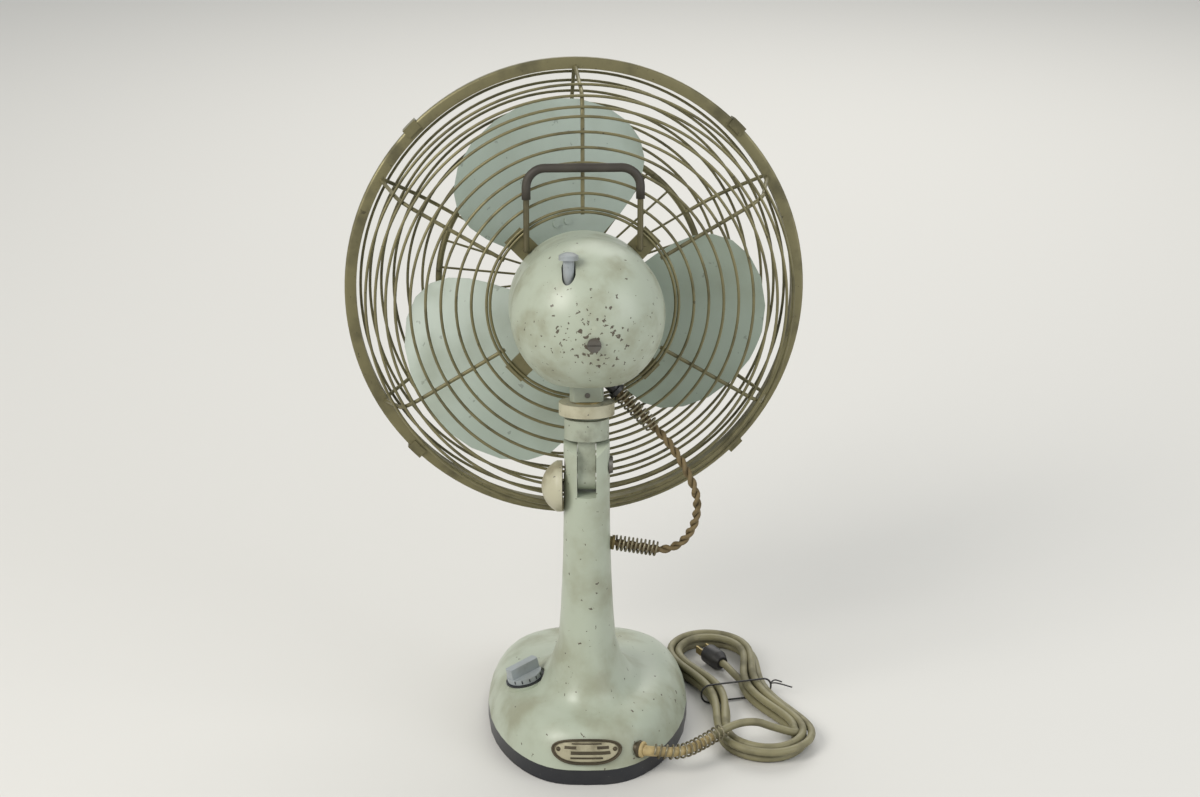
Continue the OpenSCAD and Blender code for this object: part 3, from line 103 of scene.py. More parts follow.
camera_data = bpy.data.cameras.new("photo_camera")
camera_data.sensor_width = 36
camera_data.lens = FOCAL_PX / PHOTO_W * camera_data.sensor_width
camera = bpy.data.objects.new("photo_camera", camera_data)
camera.location = CAMERA_SPOT
camera.rotation_euler = (math.pi / 2 - CAMERA_DROP, 0, 0)
scene.collection.objects.link(camera)
scene.camera = camera
print("lens, mm:", round(camera_data.lens, 1))

# %% [markdown]
# ## Paths for the cords
#
# A path is a list of points in millimetres. The smooth path runs through listed points.
# The bundle is wound from the inside out on its upper layer and back in on its lower one,
# with its waist drawn in where the tie holds it.

# %%
CORD_D = 6.0
HANK_CENTRE = (118, 24)
HANK_HEADING = math.radians(104.6)
HANK_HALF_L, HANK_HALF_W, HANK_WAIST = 92, 42, 0.8
HANK_PITCH, LAYER_STEP = CORD_D + 2, CORD_D + 1.3
HANK_FIRST, HANK_LOOPS, HANK_CLIMB = 215, 4.19, 60
TIE_LIFT, WAIST_RUN = 1.5, 35
PLUG_R, PLUG_LEAD, PLUG_TURN = 8, 6, math.radians(15)
PLUG_PLACE = (50, -4)
OUTLET_TURN, GROMMET_LIP, CORD_STRAIGHT, CORD_SAG = math.radians(-25), 3, 4, 0.2
ROUTE_STEPS, TAIL_STEPS = 6, 4


def smooth_path(points, steps):
    """Points of a smooth curve through the given ones."""
    p = [np.array(q, float) for q in points]
    last = len(p) - 1
    made = []
    for i in range(last):
        a, b, c, d = p[max(i - 1, 0)], p[i], p[i + 1], p[min(i + 2, last)]
        for k in range(steps):
            u = k / steps
            bend = 2 * a - 5 * b + 4 * c - d
            twist = 3 * b - a - 3 * c + d
            made.append(b + u / 2 * ((c - a) + u * (bend + u * twist)))
    made.append(p[last])
    return np.array(made)


def hank_place(along, across, height):
    """A point by the bundle's own length, width and height."""
    c, s = math.cos(HANK_HEADING), math.sin(HANK_HEADING)
    x = HANK_CENTRE[0] + along * c - across * s
    y = HANK_CENTRE[1] + along * s + across * c
    return np.array([x, y, height])


def hank_point(turn):
    """A point of the bundled cord, at a turn in degrees."""
    share = (turn - HANK_FIRST) / (360 * HANK_LOOPS)
    wound = HANK_LOOPS / 2 * (1 - abs(1 - 2 * share))
    middle = HANK_FIRST + 180 * HANK_LOOPS
    climb = min(1, max(0, (turn - middle + HANK_CLIMB) / (2 * HANK_CLIMB)))
    layer = 1 - climb * climb * (3 - 2 * climb)
    t = math.radians(turn)
    along = (HANK_HALF_L + HANK_PITCH * wound) * math.cos(t)
    across = math.sin(t) * (HANK_HALF_W * (1 - HANK_WAIST * math.sin(t) ** 4) + HANK_PITCH * wound)
    lift = TIE_LIFT * math.exp(-((along / WAIST_RUN) ** 2))
    return hank_place(along, across, CORD_D / 2 + layer * LAYER_STEP + lift)


def path_length(points):
    return float(np.linalg.norm(np.diff(points, axis=0), axis=1).sum())


POINTS_A_LOOP = 72
hank_steps = round(HANK_LOOPS * POINTS_A_LOOP)
hank_turns = [hank_point(HANK_FIRST + 360 * HANK_LOOPS * i / hank_steps) for i in range(hank_steps + 1)]
plug_start = hank_place(*PLUG_PLACE, PLUG_R)
plug_way = hank_place(math.cos(PLUG_TURN), math.sin(PLUG_TURN), 0) - hank_place(0, 0, 0)
plug_near = plug_start - PLUG_LEAD * plug_way
outlet = np.array([38.7033, -94.9283, 21.4356])
outlet_way = np.array([math.cos(OUTLET_TURN), math.sin(OUTLET_TURN), 0])
mains_start = outlet + GROMMET_LIP * outlet_way
first_step = hank_turns[1] - hank_turns[0]
mains_route = [
    mains_start,
    mains_start + CORD_STRAIGHT * outlet_way - [0, 0, CORD_SAG],
    [55.2, -97.7, 20.5], [62.9, -97.5, 20], [70.6, -94.9, 19.5], [77, -90, 19], [84, -83, 19],
    [92, -75, 19.5], [100, -67, 20.5], [109, -60, 21.5], [119, -54, 21.5], [130, -50, 19.5],
    [141, -48.5, 15],
    hank_turns[0] - CORD_D * first_step / np.linalg.norm(first_step),
    hank_turns[0],
]
mains_run = smooth_path(mains_route, ROUTE_STEPS)
tail_route = [hank_turns[-2], hank_turns[-1], (hank_turns[-1] + plug_near) / 2, plug_near, plug_start]
tail = smooth_path(tail_route, TAIL_STEPS)[TAIL_STEPS + 1 :]
mains_path = np.vstack([mains_run, hank_turns[1:], tail])
print("mains cord, mm:", round(path_length(mains_path)))

# %% [markdown]
# ## Tubes
#
# Cords, springs and lead strands are mesh tubes. Each ring of the tube stands square to the path, and
# its first vertex points along a side vector, so that the tube doesn't twist.

# %%


def tube(bm, points, sides_up, radii, sides):
    """Adds a closed tube to a bmesh. Points are in metres, with one radius or a list of them."""
    points = [Vector(p) for p in points]
    radii = [float(r) for r in np.broadcast_to(radii, len(points))]
    last = len(points) - 1
    rings = []
    for i, point in enumerate(points):
        ahead = (points[min(i + 1, last)] - points[max(i - 1, 0)]).normalized()
        side = ahead.cross(Vector(sides_up[i])).normalized()
        up = side.cross(ahead)
        ring = []
        for k in range(sides):
            a = 2 * math.pi * k / sides
            ring.append(bm.verts.new(point + radii[i] * (math.cos(a) * up + math.sin(a) * side)))
        rings.append(ring)
    for lower, upper in zip(rings, rings[1:]):
        for k in range(sides):
            bm.faces.new((lower[k], lower[(k + 1) % sides], upper[(k + 1) % sides], upper[k]))
    bm.faces.new(list(reversed(rings[0])))
    bm.faces.new(rings[-1])


def finish_mesh(name, bm, smooth=True):
    """Turns a bmesh into a linked object."""
    bmesh.ops.recalc_face_normals(bm, faces=bm.faces)
    mesh = bpy.data.meshes.new(name)
    bm.to_mesh(mesh)
    bm.free()
    mesh.polygons.foreach_set("use_smooth", [smooth] * len(mesh.polygons))
    made = bpy.data.objects.new(name, mesh)
    scene.collection.objects.link(made)
    return made


# %% [markdown]
# ## Mains cord
#
# One tube from the grommet, through the long spring, over the near loops and round the bundle to
# the plug. A tapered sleeve of paler rubber guards its first stretch, inside a ring in the grommet.

# %%
LEVEL_UP = (0, 0, 1)
CORD_SIDES, SLEEVE_SIDES, WIRE_SIDES, STRAND_SIDES = 12, 16, 8, 10
bm = bmesh.new()
tube(bm, mains_path * MM, [LEVEL_UP] * len(mains_path), CORD_D / 2 * MM, CORD_SIDES)
mains_flex = finish_mesh("mains_flex", bm)
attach(mains_flex, "stand")
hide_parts("mains_cord", "cord_hank")
print("mains cord points:", len(mains_path))

# %%
SLEEVE_L, SLEEVE_R, SLEEVE_END_R, SLEEVE_POINTS = 62, 4.0, 3.15, 40


def reaches_along(path):
    """Distance from the start of a path to each of its points."""
    return np.concatenate([[0], np.cumsum(np.linalg.norm(np.diff(path, axis=0), axis=1))])


mains_reach = reaches_along(mains_run)


def mains_at(reaches):
    """Points of the mains cord at distances from the grommet."""
    return np.array([[np.interp(s, mains_reach, mains_run[:, k]) for k in range(3)] for s in reaches])


sleeve_path = mains_at(np.linspace(0, SLEEVE_L, SLEEVE_POINTS))
sleeve_radii = np.linspace(SLEEVE_R, SLEEVE_END_R, SLEEVE_POINTS)
bm = bmesh.new()
tube(bm, sleeve_path * MM, [LEVEL_UP] * SLEEVE_POINTS, sleeve_radii * MM, SLEEVE_SIDES)
cord_sleeve = finish_mesh("cord_sleeve", bm)

RING_R, RING_WIRE_R, RING_SIDES, RING_STEPS = 4.7, 1.5, 12, 36
outlet_side = Vector((-outlet_way[1], outlet_way[0], 0))
outlet_axis = outlet_side.cross(Vector(LEVEL_UP))
ring_turn = Matrix((outlet_side, Vector(LEVEL_UP), outlet_axis)).transposed().to_4x4()
upright = Matrix.Rotation(math.pi / 2, 4, "X")
bm = bmesh.new()
circle = bmesh.ops.create_circle(bm, segments=RING_SIDES, radius=RING_WIRE_R * MM, matrix=upright)
bmesh.ops.translate(bm, verts=circle["verts"], vec=(RING_R * MM, 0, 0))
bmesh.ops.spin(
    bm, geom=bm.edges[:], cent=(0, 0, 0), axis=LEVEL_UP,
    angle=2 * math.pi, steps=RING_STEPS, use_merge=True,
)
bmesh.ops.transform(bm, matrix=Matrix.Translation(Vector(mains_start) * MM) @ ring_turn, verts=bm.verts)
grommet_ring = finish_mesh("grommet_ring", bm)
for piece in (cord_sleeve, grommet_ring):
    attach(piece, "stand")
print("sleeve, mm:", SLEEVE_L, "ring faces:", len(grommet_ring.data.polygons))

# %% [markdown]
# ## Tie round the bundle
#
# A thin black tie goes once round the waist of the bundle, with rounded corners, and its two ends
# stick out at the side.

# %%
TIE_R, TIE_CORNER, TIE_HALF_W, TIE_TOP = 0.75, 7, 28.9, 15.9
TIE_STEPS, TIE_DRIFT = 8, 0.6
TIE_TAIL_R, TIE_TAIL_STEPS = 0.6, 8
TIE_TAIL_FOOT, TIE_TAIL_BEND, TIE_TAIL_TIP = 11, 12, 8
tie_in, tie_low, tie_high = TIE_HALF_W - TIE_CORNER, TIE_R + TIE_CORNER, TIE_TOP - TIE_CORNER
tie_corners = [
    (tie_in, tie_low, -90), (tie_in, tie_high, 0), (-tie_in, tie_high, 90), (-tie_in, tie_low, 180),
]
tie_count = len(tie_corners) * (TIE_STEPS + 1)
tie_path = []
for across, height, first in tie_corners:
    for step in range(TIE_STEPS + 1):
        a = math.radians(first + 90 * step / TIE_STEPS)
        drift = TIE_DRIFT * len(tie_path) / tie_count
        out, up = TIE_CORNER * math.cos(a), TIE_CORNER * math.sin(a)
        tie_path.append(hank_place(drift, across + out, height + up))
tie_path.append(hank_place(2 * TIE_DRIFT, tie_in, TIE_R))
tie_ways = np.array([hank_place(1, 0, 0) - hank_place(0, 0, 0)] * len(tie_path))
bm = bmesh.new()
tube(bm, np.array(tie_path) * MM, tie_ways, TIE_R * MM, WIRE_SIDES)
for along, reach in ((-2.5, 16), (3.0, 11)):
    tail_route = [
        hank_place(0, 1 - TIE_HALF_W, TIE_TAIL_FOOT),
        hank_place(along, -TIE_HALF_W - 4, TIE_TAIL_BEND),
        hank_place(2 * along, -TIE_HALF_W - reach, TIE_TAIL_TIP),
    ]
    tail_path = smooth_path(tail_route, TIE_TAIL_STEPS)
    tube(bm, tail_path * MM, [LEVEL_UP] * len(tail_path), TIE_TAIL_R * MM, WIRE_SIDES)
bundle_tie = finish_mesh("bundle_tie", bm)
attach(bundle_tie, "stand")
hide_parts("cord_tie")
print("tie points:", len(tie_path))

# %% [markdown]
# ## Motor lead
#
# Two cloth-covered strands, twisted round each other, hang from the gland under the motor to the
# bush in the column. The lead is made as an upper and a lower half, which meet where the loop is
# widest.

# %%
LEAD_D = 6.6
STRAND_R = LEAD_D / 4
TWIST_PITCH = 17.0
GLAND_SPOT, GLAND_LIP, LEAD_STRAIGHT = (21, 2, FAN_AXIS_H - 58), 3, 38
BUSH_DROOP, BUSH_STRAIGHT = math.radians(9), 36
LEAD_WIDEST = (80, -45, 206)
LEAD_STEPS = 14
lead_way = head_way(1, 0, -1)
lead_start = np.array(head_point(*GLAND_SPOT) + GLAND_LIP * lead_way)
lead_way = np.array(lead_way)
lead_leave = lead_start + LEAD_STRAIGHT * lead_way
bush_way = np.array([math.cos(BUSH_DROOP), 0, -math.sin(BUSH_DROOP)])
bush_end = np.array([20.57, -32, 160.531])
bush_leave = bush_end + BUSH_STRAIGHT * bush_way
lead_route = [
    lead_start, (lead_start + lead_leave) / 2, lead_leave, [60, -30, 240], [72, -40, 224], LEAD_WIDEST,
    [81, -43, 188], [77, -39, 173], [69, -35, 161], bush_leave, (bush_leave + bush_end) / 2, bush_end,
]
lead_path = smooth_path(lead_route, LEAD_STEPS)
lead_middle = int(np.argmin(np.linalg.norm(lead_path - LEAD_WIDEST, axis=1)))


def twisted_pair(name, path, first_reach):
    """Two strands wound round a path, as one mesh."""
    reach = first_reach + reaches_along(path)
    ahead = np.gradient(path, axis=0)
    ahead /= np.linalg.norm(ahead, axis=1)[:, None]
    side = np.cross(ahead, [0, 1, 0])
    side /= np.linalg.norm(side, axis=1)[:, None]
    up = np.cross(side, ahead)
    bm = bmesh.new()
    for strand in range(2):
        turn = 2 * math.pi * (reach / TWIST_PITCH + strand / 2)
        out = np.cos(turn)[:, None] * up + np.sin(turn)[:, None] * side
        tube(bm, (path + STRAND_R * out) * MM, out, STRAND_R * MM, STRAND_SIDES)
    half = len(bm.faces) // 2
    for i, face in enumerate(bm.faces):
        face.material_index = int(i >= half)
    return finish_mesh(name, bm)


upper_path, lower_path = lead_path[: lead_middle + 1], lead_path[lead_middle:]
upper_l, lower_l = path_length(upper_path), path_length(lower_path)
upper_lead = twisted_pair("upper_lead", upper_path, 0)
lower_lead = twisted_pair("lower_lead", lower_path, upper_l)
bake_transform(upper_lead)
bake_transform(lower_lead)
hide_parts("motor_lead")
print("lead halves, mm:", round(upper_l), round(lower_l))

# %% [markdown]
# ## Wound springs
#
# Three strain springs stand in for the plain CAD ones, with rounder wire and more points a coil.

# %%
SPRING_WIRE_R = 0.75
COIL_POINTS = 28


def helix(axis_points, axis_ways, radius, coils, up):
    """Points of a wire wound round a path, and the way each faces out."""
    count = coils * COIL_POINTS
    shares = np.linspace(0, 1, len(axis_points))
    wire, outs = [], []
    for i in range(count + 1):
        centre = np.array([np.interp(i / count, shares, axis_points[:, k]) for k in range(3)])
        ahead = np.array([np.interp(i / count, shares, axis_ways[:, k]) for k in range(3)])
        side = np.cross(ahead, up)
        side /= np.linalg.norm(side)
        turn = 2 * math.pi * i / COIL_POINTS
        out = math.cos(turn) * side + math.sin(turn) * np.cross(side, ahead / np.linalg.norm(ahead))
        wire.append(centre + radius * out)
        outs.append(out)
    return np.array(wire), np.array(outs)


def spring(name, axis_points, radius, coils, up, body, stands_for):
    """A wound spring in place of a CAD one."""
    ways = np.gradient(axis_points, axis=0)
    wire, outs = helix(axis_points, ways, radius, coils, up)
    bm = bmesh.new()
    tube(bm, wire * MM, outs, SPRING_WIRE_R * MM, WIRE_SIDES)
    made = finish_mesh(name, bm)
    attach(made, body)
    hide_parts(stands_for)
    return made


LEAD_SPRING_R = LEAD_D / 2 + SPRING_WIRE_R + 1.2
LEAD_SPRING_POINTS, LEAD_SPRING_FROM, UPPER_SPRING_TO, LOWER_SPRING_TO = 12, 1, 37, 32
UPPER_COILS, LOWER_COILS = 11, 10
MAINS_SPRING_R, MAINS_COILS, MAINS_SPRING_POINTS = 5, 14, 60
MAINS_SPRING_FROM, MAINS_SPRING_L, MAINS_SPRING_GROWTH = 9, 66, 1.06
LEAD_UP = (0, 1, 0)


def straight_axis(start, way, end_reach):
    """The middle line of a straight spring on the lead."""
    return np.array([start + s * way for s in np.linspace(LEAD_SPRING_FROM, end_reach, LEAD_SPRING_POINTS)])


grown = np.linspace(0, 1, MAINS_SPRING_POINTS) ** MAINS_SPRING_GROWTH
mains_axis = mains_at(MAINS_SPRING_FROM + MAINS_SPRING_L * grown)
upper_axis = straight_axis(lead_start, lead_way, UPPER_SPRING_TO)
lower_axis = straight_axis(bush_end, bush_way, LOWER_SPRING_TO)
mains_coil = spring(
    "mains_coil", mains_axis, MAINS_SPRING_R, MAINS_COILS, LEVEL_UP, "stand", "mains_spring",
)
upper_coil = spring(
    "upper_coil", upper_axis, LEAD_SPRING_R, UPPER_COILS, LEAD_UP, "head", "upper_lead_spring",
)
lower_coil = spring(
    "lower_coil", lower_axis, LEAD_SPRING_R, LOWER_COILS, LEAD_UP, "stand", "lower_lead_spring",
)
print("springs:", mains_coil.name, upper_coil.name, lower_coil.name)

# %% [markdown]
# ## Worn finishes
#
# One shader group does the ageing for every painted, plated or moulded piece: a base colour that
# drifts a little, soft grime, small sharp chips that show what lies under the paint, and a fine
# bump. Chips gather round a wear spot where a finish names one. Each finish sets its own values,
# and its Principled shader stays in the material.

# %%


def link(tree, source, target):
    """Joins two sockets of a node tree."""
    tree.links.new(source, target)


def make_ageing():
    """The shader group shared by all the finishes."""
    group = bpy.data.node_groups.new("ageing", "ShaderNodeTree")
    for name, kind, value in (
        ("Paint", "NodeSocketColor", (0.5, 0.5, 0.5, 1)), ("Grime", "NodeSocketColor", (0.1, 0.09, 0.05, 1)),
        ("Chip", "NodeSocketColor", (0.05, 0.05, 0.05, 1)), ("Grime amount", "NodeSocketFloat", 0.3),
        ("Chip amount", "NodeSocketFloat", 0.1), ("Roughness", "NodeSocketFloat", 0.4),
        ("Scale", "NodeSocketFloat", 60.0), ("Bump", "NodeSocketFloat", 0.05),
        ("Wear spot", "NodeSocketVector", (0, 0, 0)), ("Wear reach", "NodeSocketFloat", 0.0001),
    ):
        socket = group.interface.new_socket(name, in_out="INPUT", socket_type=kind)
        socket.default_value = value
    for name, kind in (
        ("Colour", "NodeSocketColor"), ("Roughness", "NodeSocketFloat"), ("Normal", "NodeSocketVector"),
    ):
        group.interface.new_socket(name, in_out="OUTPUT", socket_type=kind)
    given = group.nodes.new("NodeGroupInput")
    result = group.nodes.new("NodeGroupOutput")
    place = group.nodes.new("ShaderNodeTexCoord")

    def sums(operation, a, b):
        made = group.nodes.new("ShaderNodeMath")
        made.operation = operation
        for socket, value in zip(made.inputs, (a, b)):
            if isinstance(value, (int, float)):
                socket.default_value = value
            else:
                link(group, value, socket)
        return made.outputs[0]

    def noise(scale_by, detail):
        made = group.nodes.new("ShaderNodeTexNoise")
        made.inputs["Detail"].default_value = detail
        link(group, place.outputs["Object"], made.inputs["Vector"])
        link(group, sums("MULTIPLY", given.outputs["Scale"], scale_by), made.inputs["Scale"])
        return made.outputs["Fac"]

    def spread(value, low, high):
        made = group.nodes.new("ShaderNodeMapRange")
        made.interpolation_type = "SMOOTHSTEP"
        made.inputs["From Min"].default_value = low
        made.inputs["From Max"].default_value = high
        link(group, value, made.inputs["Value"])
        return made.outputs["Result"]

    def mix(factor, a, b):
        made = group.nodes.new("ShaderNodeMix")
        made.data_type = "RGBA"
        link(group, factor, made.inputs["Factor"])
        link(group, a, made.inputs["A"])
        link(group, b, made.inputs["B"])
        return made.outputs["Result"]

    away = group.nodes.new("ShaderNodeVectorMath")
    away.operation = "DISTANCE"
    link(group, place.outputs["Object"], away.inputs[0])
    link(group, given.outputs["Wear spot"], away.inputs[1])
    share = sums("DIVIDE", away.outputs["Value"], given.outputs["Wear reach"])
    near = sums("MAXIMUM", sums("SUBTRACT", 1, share), 0)
    grime = sums("MULTIPLY", spread(noise(1.0, 6), 0.42, 0.74), given.outputs["Grime amount"])
    worn = sums("ADD", noise(7.0, 4), sums("MULTIPLY", near, 0.14))
    chips = sums("MULTIPLY", spread(worn, 0.685, 0.70), given.outputs["Chip amount"])
    colour = mix(chips, mix(grime, given.outputs["Paint"], given.outputs["Grime"]), given.outputs["Chip"])
    bump = group.nodes.new("ShaderNodeBump")
    bump.inputs["Distance"].default_value = 0.0006
    link(group, given.outputs["Bump"], bump.inputs["Strength"])
    link(group, noise(9.0, 4), bump.inputs["Height"])
    rough = sums("ADD", given.outputs["Roughness"], sums("MULTIPLY", grime, 0.35))
    link(group, colour, result.inputs["Colour"])
    link(group, rough, result.inputs["Roughness"])
    link(group, bump.outputs["Normal"], result.inputs["Normal"])
    return group


ageing = make_ageing()


def finish(name, metallic=0.0, **values):
    """A material whose Principled shader takes its colour, roughness and bump from the ageing group."""
    made = bpy.data.materials.new(name)
    made.use_nodes = True
    tree = made.node_tree
    shader = tree.nodes["Principled BSDF"]
    shader.inputs["Metallic"].default_value = metallic
    worn = tree.nodes.new("ShaderNodeGroup")
    worn.node_tree = ageing
    for key, value in values.items():
        socket = worn.inputs[key.replace("_", " ").capitalize()]
        socket.default_value = (*value, 1) if socket.type == "RGBA" else value
    for output, target in (("Colour", "Base Color"), ("Roughness", "Roughness"), ("Normal", "Normal")):
        link(tree, worn.outputs[output], shader.inputs[target])
    return made


DOME_SCREW_SPOT = head_point(0, -67, FAN_AXIS_H - 8) * MM
GREEN = dict(
    paint=(0.385, 0.425, 0.335), grime=(0.2, 0.19, 0.11), chip=(0.055, 0.034, 0.02),
    grime_amount=0.6, chip_amount=0.9, roughness=0.33, scale=26.0, bump=0.12,
)
FINISH_VALUES = {
    "pale_green_paint": GREEN,
    "dome_paint": dict(GREEN, scale=38.0, wear_spot=DOME_SCREW_SPOT, wear_reach=0.042),
    "blade_paint": dict(
        paint=(0.345, 0.41, 0.345), grime=(0.19, 0.205, 0.135), chip=(0.05, 0.05, 0.04),
        grime_amount=0.4, chip_amount=0.35, roughness=0.36, scale=18.0, bump=0.05,
    ),
    "olive_wire": dict(
        paint=(0.19, 0.17, 0.085), grime=(0.06, 0.055, 0.03), chip=(0.025, 0.02, 0.012),
        grime_amount=0.7, chip_amount=0.6, roughness=0.4, metallic=0.45, scale=40.0, bump=0.15,
    ),
    "cream_cast": dict(
        paint=(0.44, 0.42, 0.3), grime=(0.17, 0.14, 0.075), chip=(0.09, 0.085, 0.075),
        grime_amount=0.75, chip_amount=0.85, roughness=0.42, scale=45.0, bump=0.15,
    ),
    "neck_grey": dict(
        paint=(0.335, 0.365, 0.285), grime=(0.1, 0.095, 0.06), chip=(0.06, 0.055, 0.045),
        grime_amount=0.8, chip_amount=0.8, roughness=0.42, scale=50.0, bump=0.15,
    ),
    "dark_steel": dict(
        paint=(0.16, 0.15, 0.13), grime=(0.07, 0.05, 0.03), chip=(0.08, 0.04, 0.02),
        grime_amount=0.7, chip_amount=0.6, roughness=0.42, metallic=0.8, scale=60.0, bump=0.1,
    ),
    "spring_wire": dict(
        paint=(0.25, 0.225, 0.15), grime=(0.08, 0.06, 0.03), chip=(0.09, 0.05, 0.02),
        grime_amount=0.8, chip_amount=0.5, roughness=0.38, metallic=0.7, scale=80.0, bump=0.1,
    ),
    "black_enamel": dict(
        paint=(0.013, 0.014, 0.018), grime=(0.06, 0.058, 0.05), chip=(0.12, 0.12, 0.1),
        grime_amount=0.2, chip_amount=0.4, roughness=0.34, scale=40.0, bump=0.1,
    ),
    "black_plastic": dict(
        paint=(0.014, 0.013, 0.013), grime=(0.05, 0.045, 0.04), chip=(0.05, 0.05, 0.05),
        grime_amount=0.3, chip_amount=0.2, roughness=0.42, scale=60.0,
    ),
    "brass_plate": dict(
        paint=(0.3, 0.235, 0.1), grime=(0.09, 0.07, 0.03), chip=(0.06, 0.05, 0.02),
        grime_amount=0.7, chip_amount=0.5, roughness=0.4, metallic=0.7, scale=70.0, bump=0.1,
    ),
    "bronze_plate": dict(
        paint=(0.075, 0.06, 0.035), grime=(0.03, 0.025, 0.015), chip=(0.2, 0.17, 0.1),
        grime_amount=0.6, chip_amount=0.4, roughness=0.45, metallic=0.5, scale=90.0, bump=0.15,
    ),
    "plate_field": dict(
        paint=(0.36, 0.33, 0.22), grime=(0.12, 0.1, 0.055), chip=(0.08, 0.065, 0.03),
        grime_amount=0.7, chip_amount=0.7, roughness=0.45, metallic=0.2, scale=110.0, bump=0.1,
    ),
    "handle_wire": dict(
        paint=(0.12, 0.105, 0.055), grime=(0.04, 0.035, 0.02), chip=(0.03, 0.025, 0.015),
        grime_amount=0.7, chip_amount=0.5, roughness=0.42, metallic=0.4, scale=60.0, bump=0.1,
    ),
    "grey_plastic": dict(
        paint=(0.3, 0.33, 0.34), grime=(0.14, 0.13, 0.1), chip=(0.1, 0.1, 0.09),
        grime_amount=0.4, chip_amount=0.3, roughness=0.33, scale=60.0,
    ),
    "black_rubber": dict(
        paint=(0.035, 0.029, 0.022), grime=(0.08, 0.07, 0.05), chip=(0.05, 0.05, 0.04),
        grime_amount=0.4, chip_amount=0.2, roughness=0.55, scale=60.0,
    ),
    "tan_rubber": dict(
        paint=(0.43, 0.33, 0.15), grime=(0.17, 0.12, 0.05), chip=(0.1, 0.07, 0.03),
        grime_amount=0.7, chip_amount=0.4, roughness=0.5, scale=90.0, bump=0.2,
    ),
    "copper_winding": dict(
        paint=(0.36, 0.14, 0.05),
        roughness=0.35, metallic=0.8,
    ),
    "cloth_cord": dict(
        paint=(0.165, 0.12, 0.055), grime=(0.08, 0.06, 0.03), chip=(0.05, 0.04, 0.02),
        grime_amount=0.8, chip_amount=0.5, roughness=0.8, scale=120.0, bump=0.5,
    ),
    "dark_cloth": dict(
        paint=(0.085, 0.062, 0.032), grime=(0.04, 0.03, 0.02), chip=(0.15, 0.11, 0.06),
        grime_amount=0.6, chip_amount=0.3, roughness=0.8, scale=120.0, bump=0.5,
    ),
    "mains_cover": dict(
        paint=(0.215, 0.195, 0.105), grime=(0.08, 0.07, 0.04), chip=(0.05, 0.045, 0.02),
        grime_amount=0.7, chip_amount=0.3, roughness=0.5, scale=50.0, bump=0.1,
    ),
}
finishes = {name: finish(name, **values) for name, values in FINISH_VALUES.items()}
print("finishes:", len(finishes))

# %% [markdown]
# ## Dressing the CAD nodes
#
# Each node takes the finish of its slot in the record. A weld and a shading modifier let curved
# faces shade smoothly and keep true edges crisp, without touching the CAD mesh.

# %%
slot_of = {row["node"]: row["material_slot"] for row in frame["record"]["subparts"]}
EDGE_ANGLE = math.radians(32)


def dress(obj, material):
    """Gives an object one material."""
    obj.data.materials.clear()
    obj.data.materials.append(material)


def shade(obj):
    """Smooth shading with crisp edges."""
    weld = obj.modifiers.new("weld", "WELD")
    weld.merge_threshold = 0.00002
    obj.data.polygons.foreach_set("use_smooth", [True] * len(obj.data.polygons))
    split = obj.modifiers.new("edges", "EDGE_SPLIT")
    split.split_angle = EDGE_ANGLE


for name, node in nodes.items():
    dress(node, finishes[slot_of[name]])
    if not node.hide_render:
        shade(node)
OWN_FINISH = {"rear_dome": "dome_paint", "nameplate": "bronze_plate", "cord_grommet": "bronze_plate",
              "carry_handle": "handle_wire", "neck_yoke": "neck_grey", "blade_rivets": "blade_paint"}
for name, material in OWN_FINISH.items():
    dress(nodes[name], finishes[material])
dress(mains_flex, finishes["mains_cover"])
dress(bundle_tie, finishes["black_plastic"])
for piece in (cord_sleeve, grommet_ring):
    dress(piece, finishes["tan_rubber"])
for piece in (upper_lead, lower_lead):
    dress(piece, finishes["cloth_cord"])
    piece.data.materials.append(finishes["dark_cloth"])
for piece in (mains_coil, upper_coil, lower_coil):
    dress(piece, finishes["spring_wire"])
print("dressed nodes:", len(nodes))

# %% [markdown]
# ## The bare nameplate
#
# The plate at the back of the base gets a raised rim, two rivets and a few blank bars, and no
# words. They lie on the casting's own surface, which is worked out here as in the CAD source.

# %%
BASE_HALF_W, BASE_HALF_D, BASE_TAPER = 77.5, 111, 0.3
COLUMN_TOP, FOOT_Z, COLUMN_Y = 242, 43, -32
COLUMN_W, COLUMN_W_GROWTH, COLUMN_D_GROWTH = 34, 18, 38
EDGE_Z, CROWN_H, CROWN_POWER, SWEEP_H, SWEEP_RUN = 12, 31, 5, 40, 0.1
EDGE_POWER, TAPER_POWER = 2 / 3, 1.5


def signed_power(value, power):
    return math.copysign(abs(value) ** power, value)


def casting_point(angle, share):
    """A point of the stand's skin, a share of the way out from the column to the base's edge."""
    a = math.radians(angle)
    z = EDGE_Z + CROWN_H * (1 - share**CROWN_POWER) + SWEEP_H * math.exp(-share / SWEEP_RUN)
    up = max(0, COLUMN_TOP - z) / (COLUMN_TOP - FOOT_Z)
    column_w = COLUMN_W + COLUMN_W_GROWTH * up**3
    column_d = COLUMN_W + COLUMN_D_GROWTH * up**2
    column = Vector((column_w / 2 * math.cos(a), COLUMN_Y + column_d / 2 * math.sin(a), z))
    edge_y = BASE_HALF_D * signed_power(math.sin(a), EDGE_POWER)
    narrow = 1 - BASE_TAPER * max(0, -edge_y / BASE_HALF_D) ** TAPER_POWER
    edge = Vector((BASE_HALF_W * narrow * signed_power(math.cos(a), EDGE_POWER), edge_y, z))
    return column.lerp(edge, share)


PLATE_SHARE, PLATE_HALF_SHARE, PLATE_HALF_TURN, PLATE_TOP = 0.88, 0.09, 21, 1.15
SHEET_T = 0.25


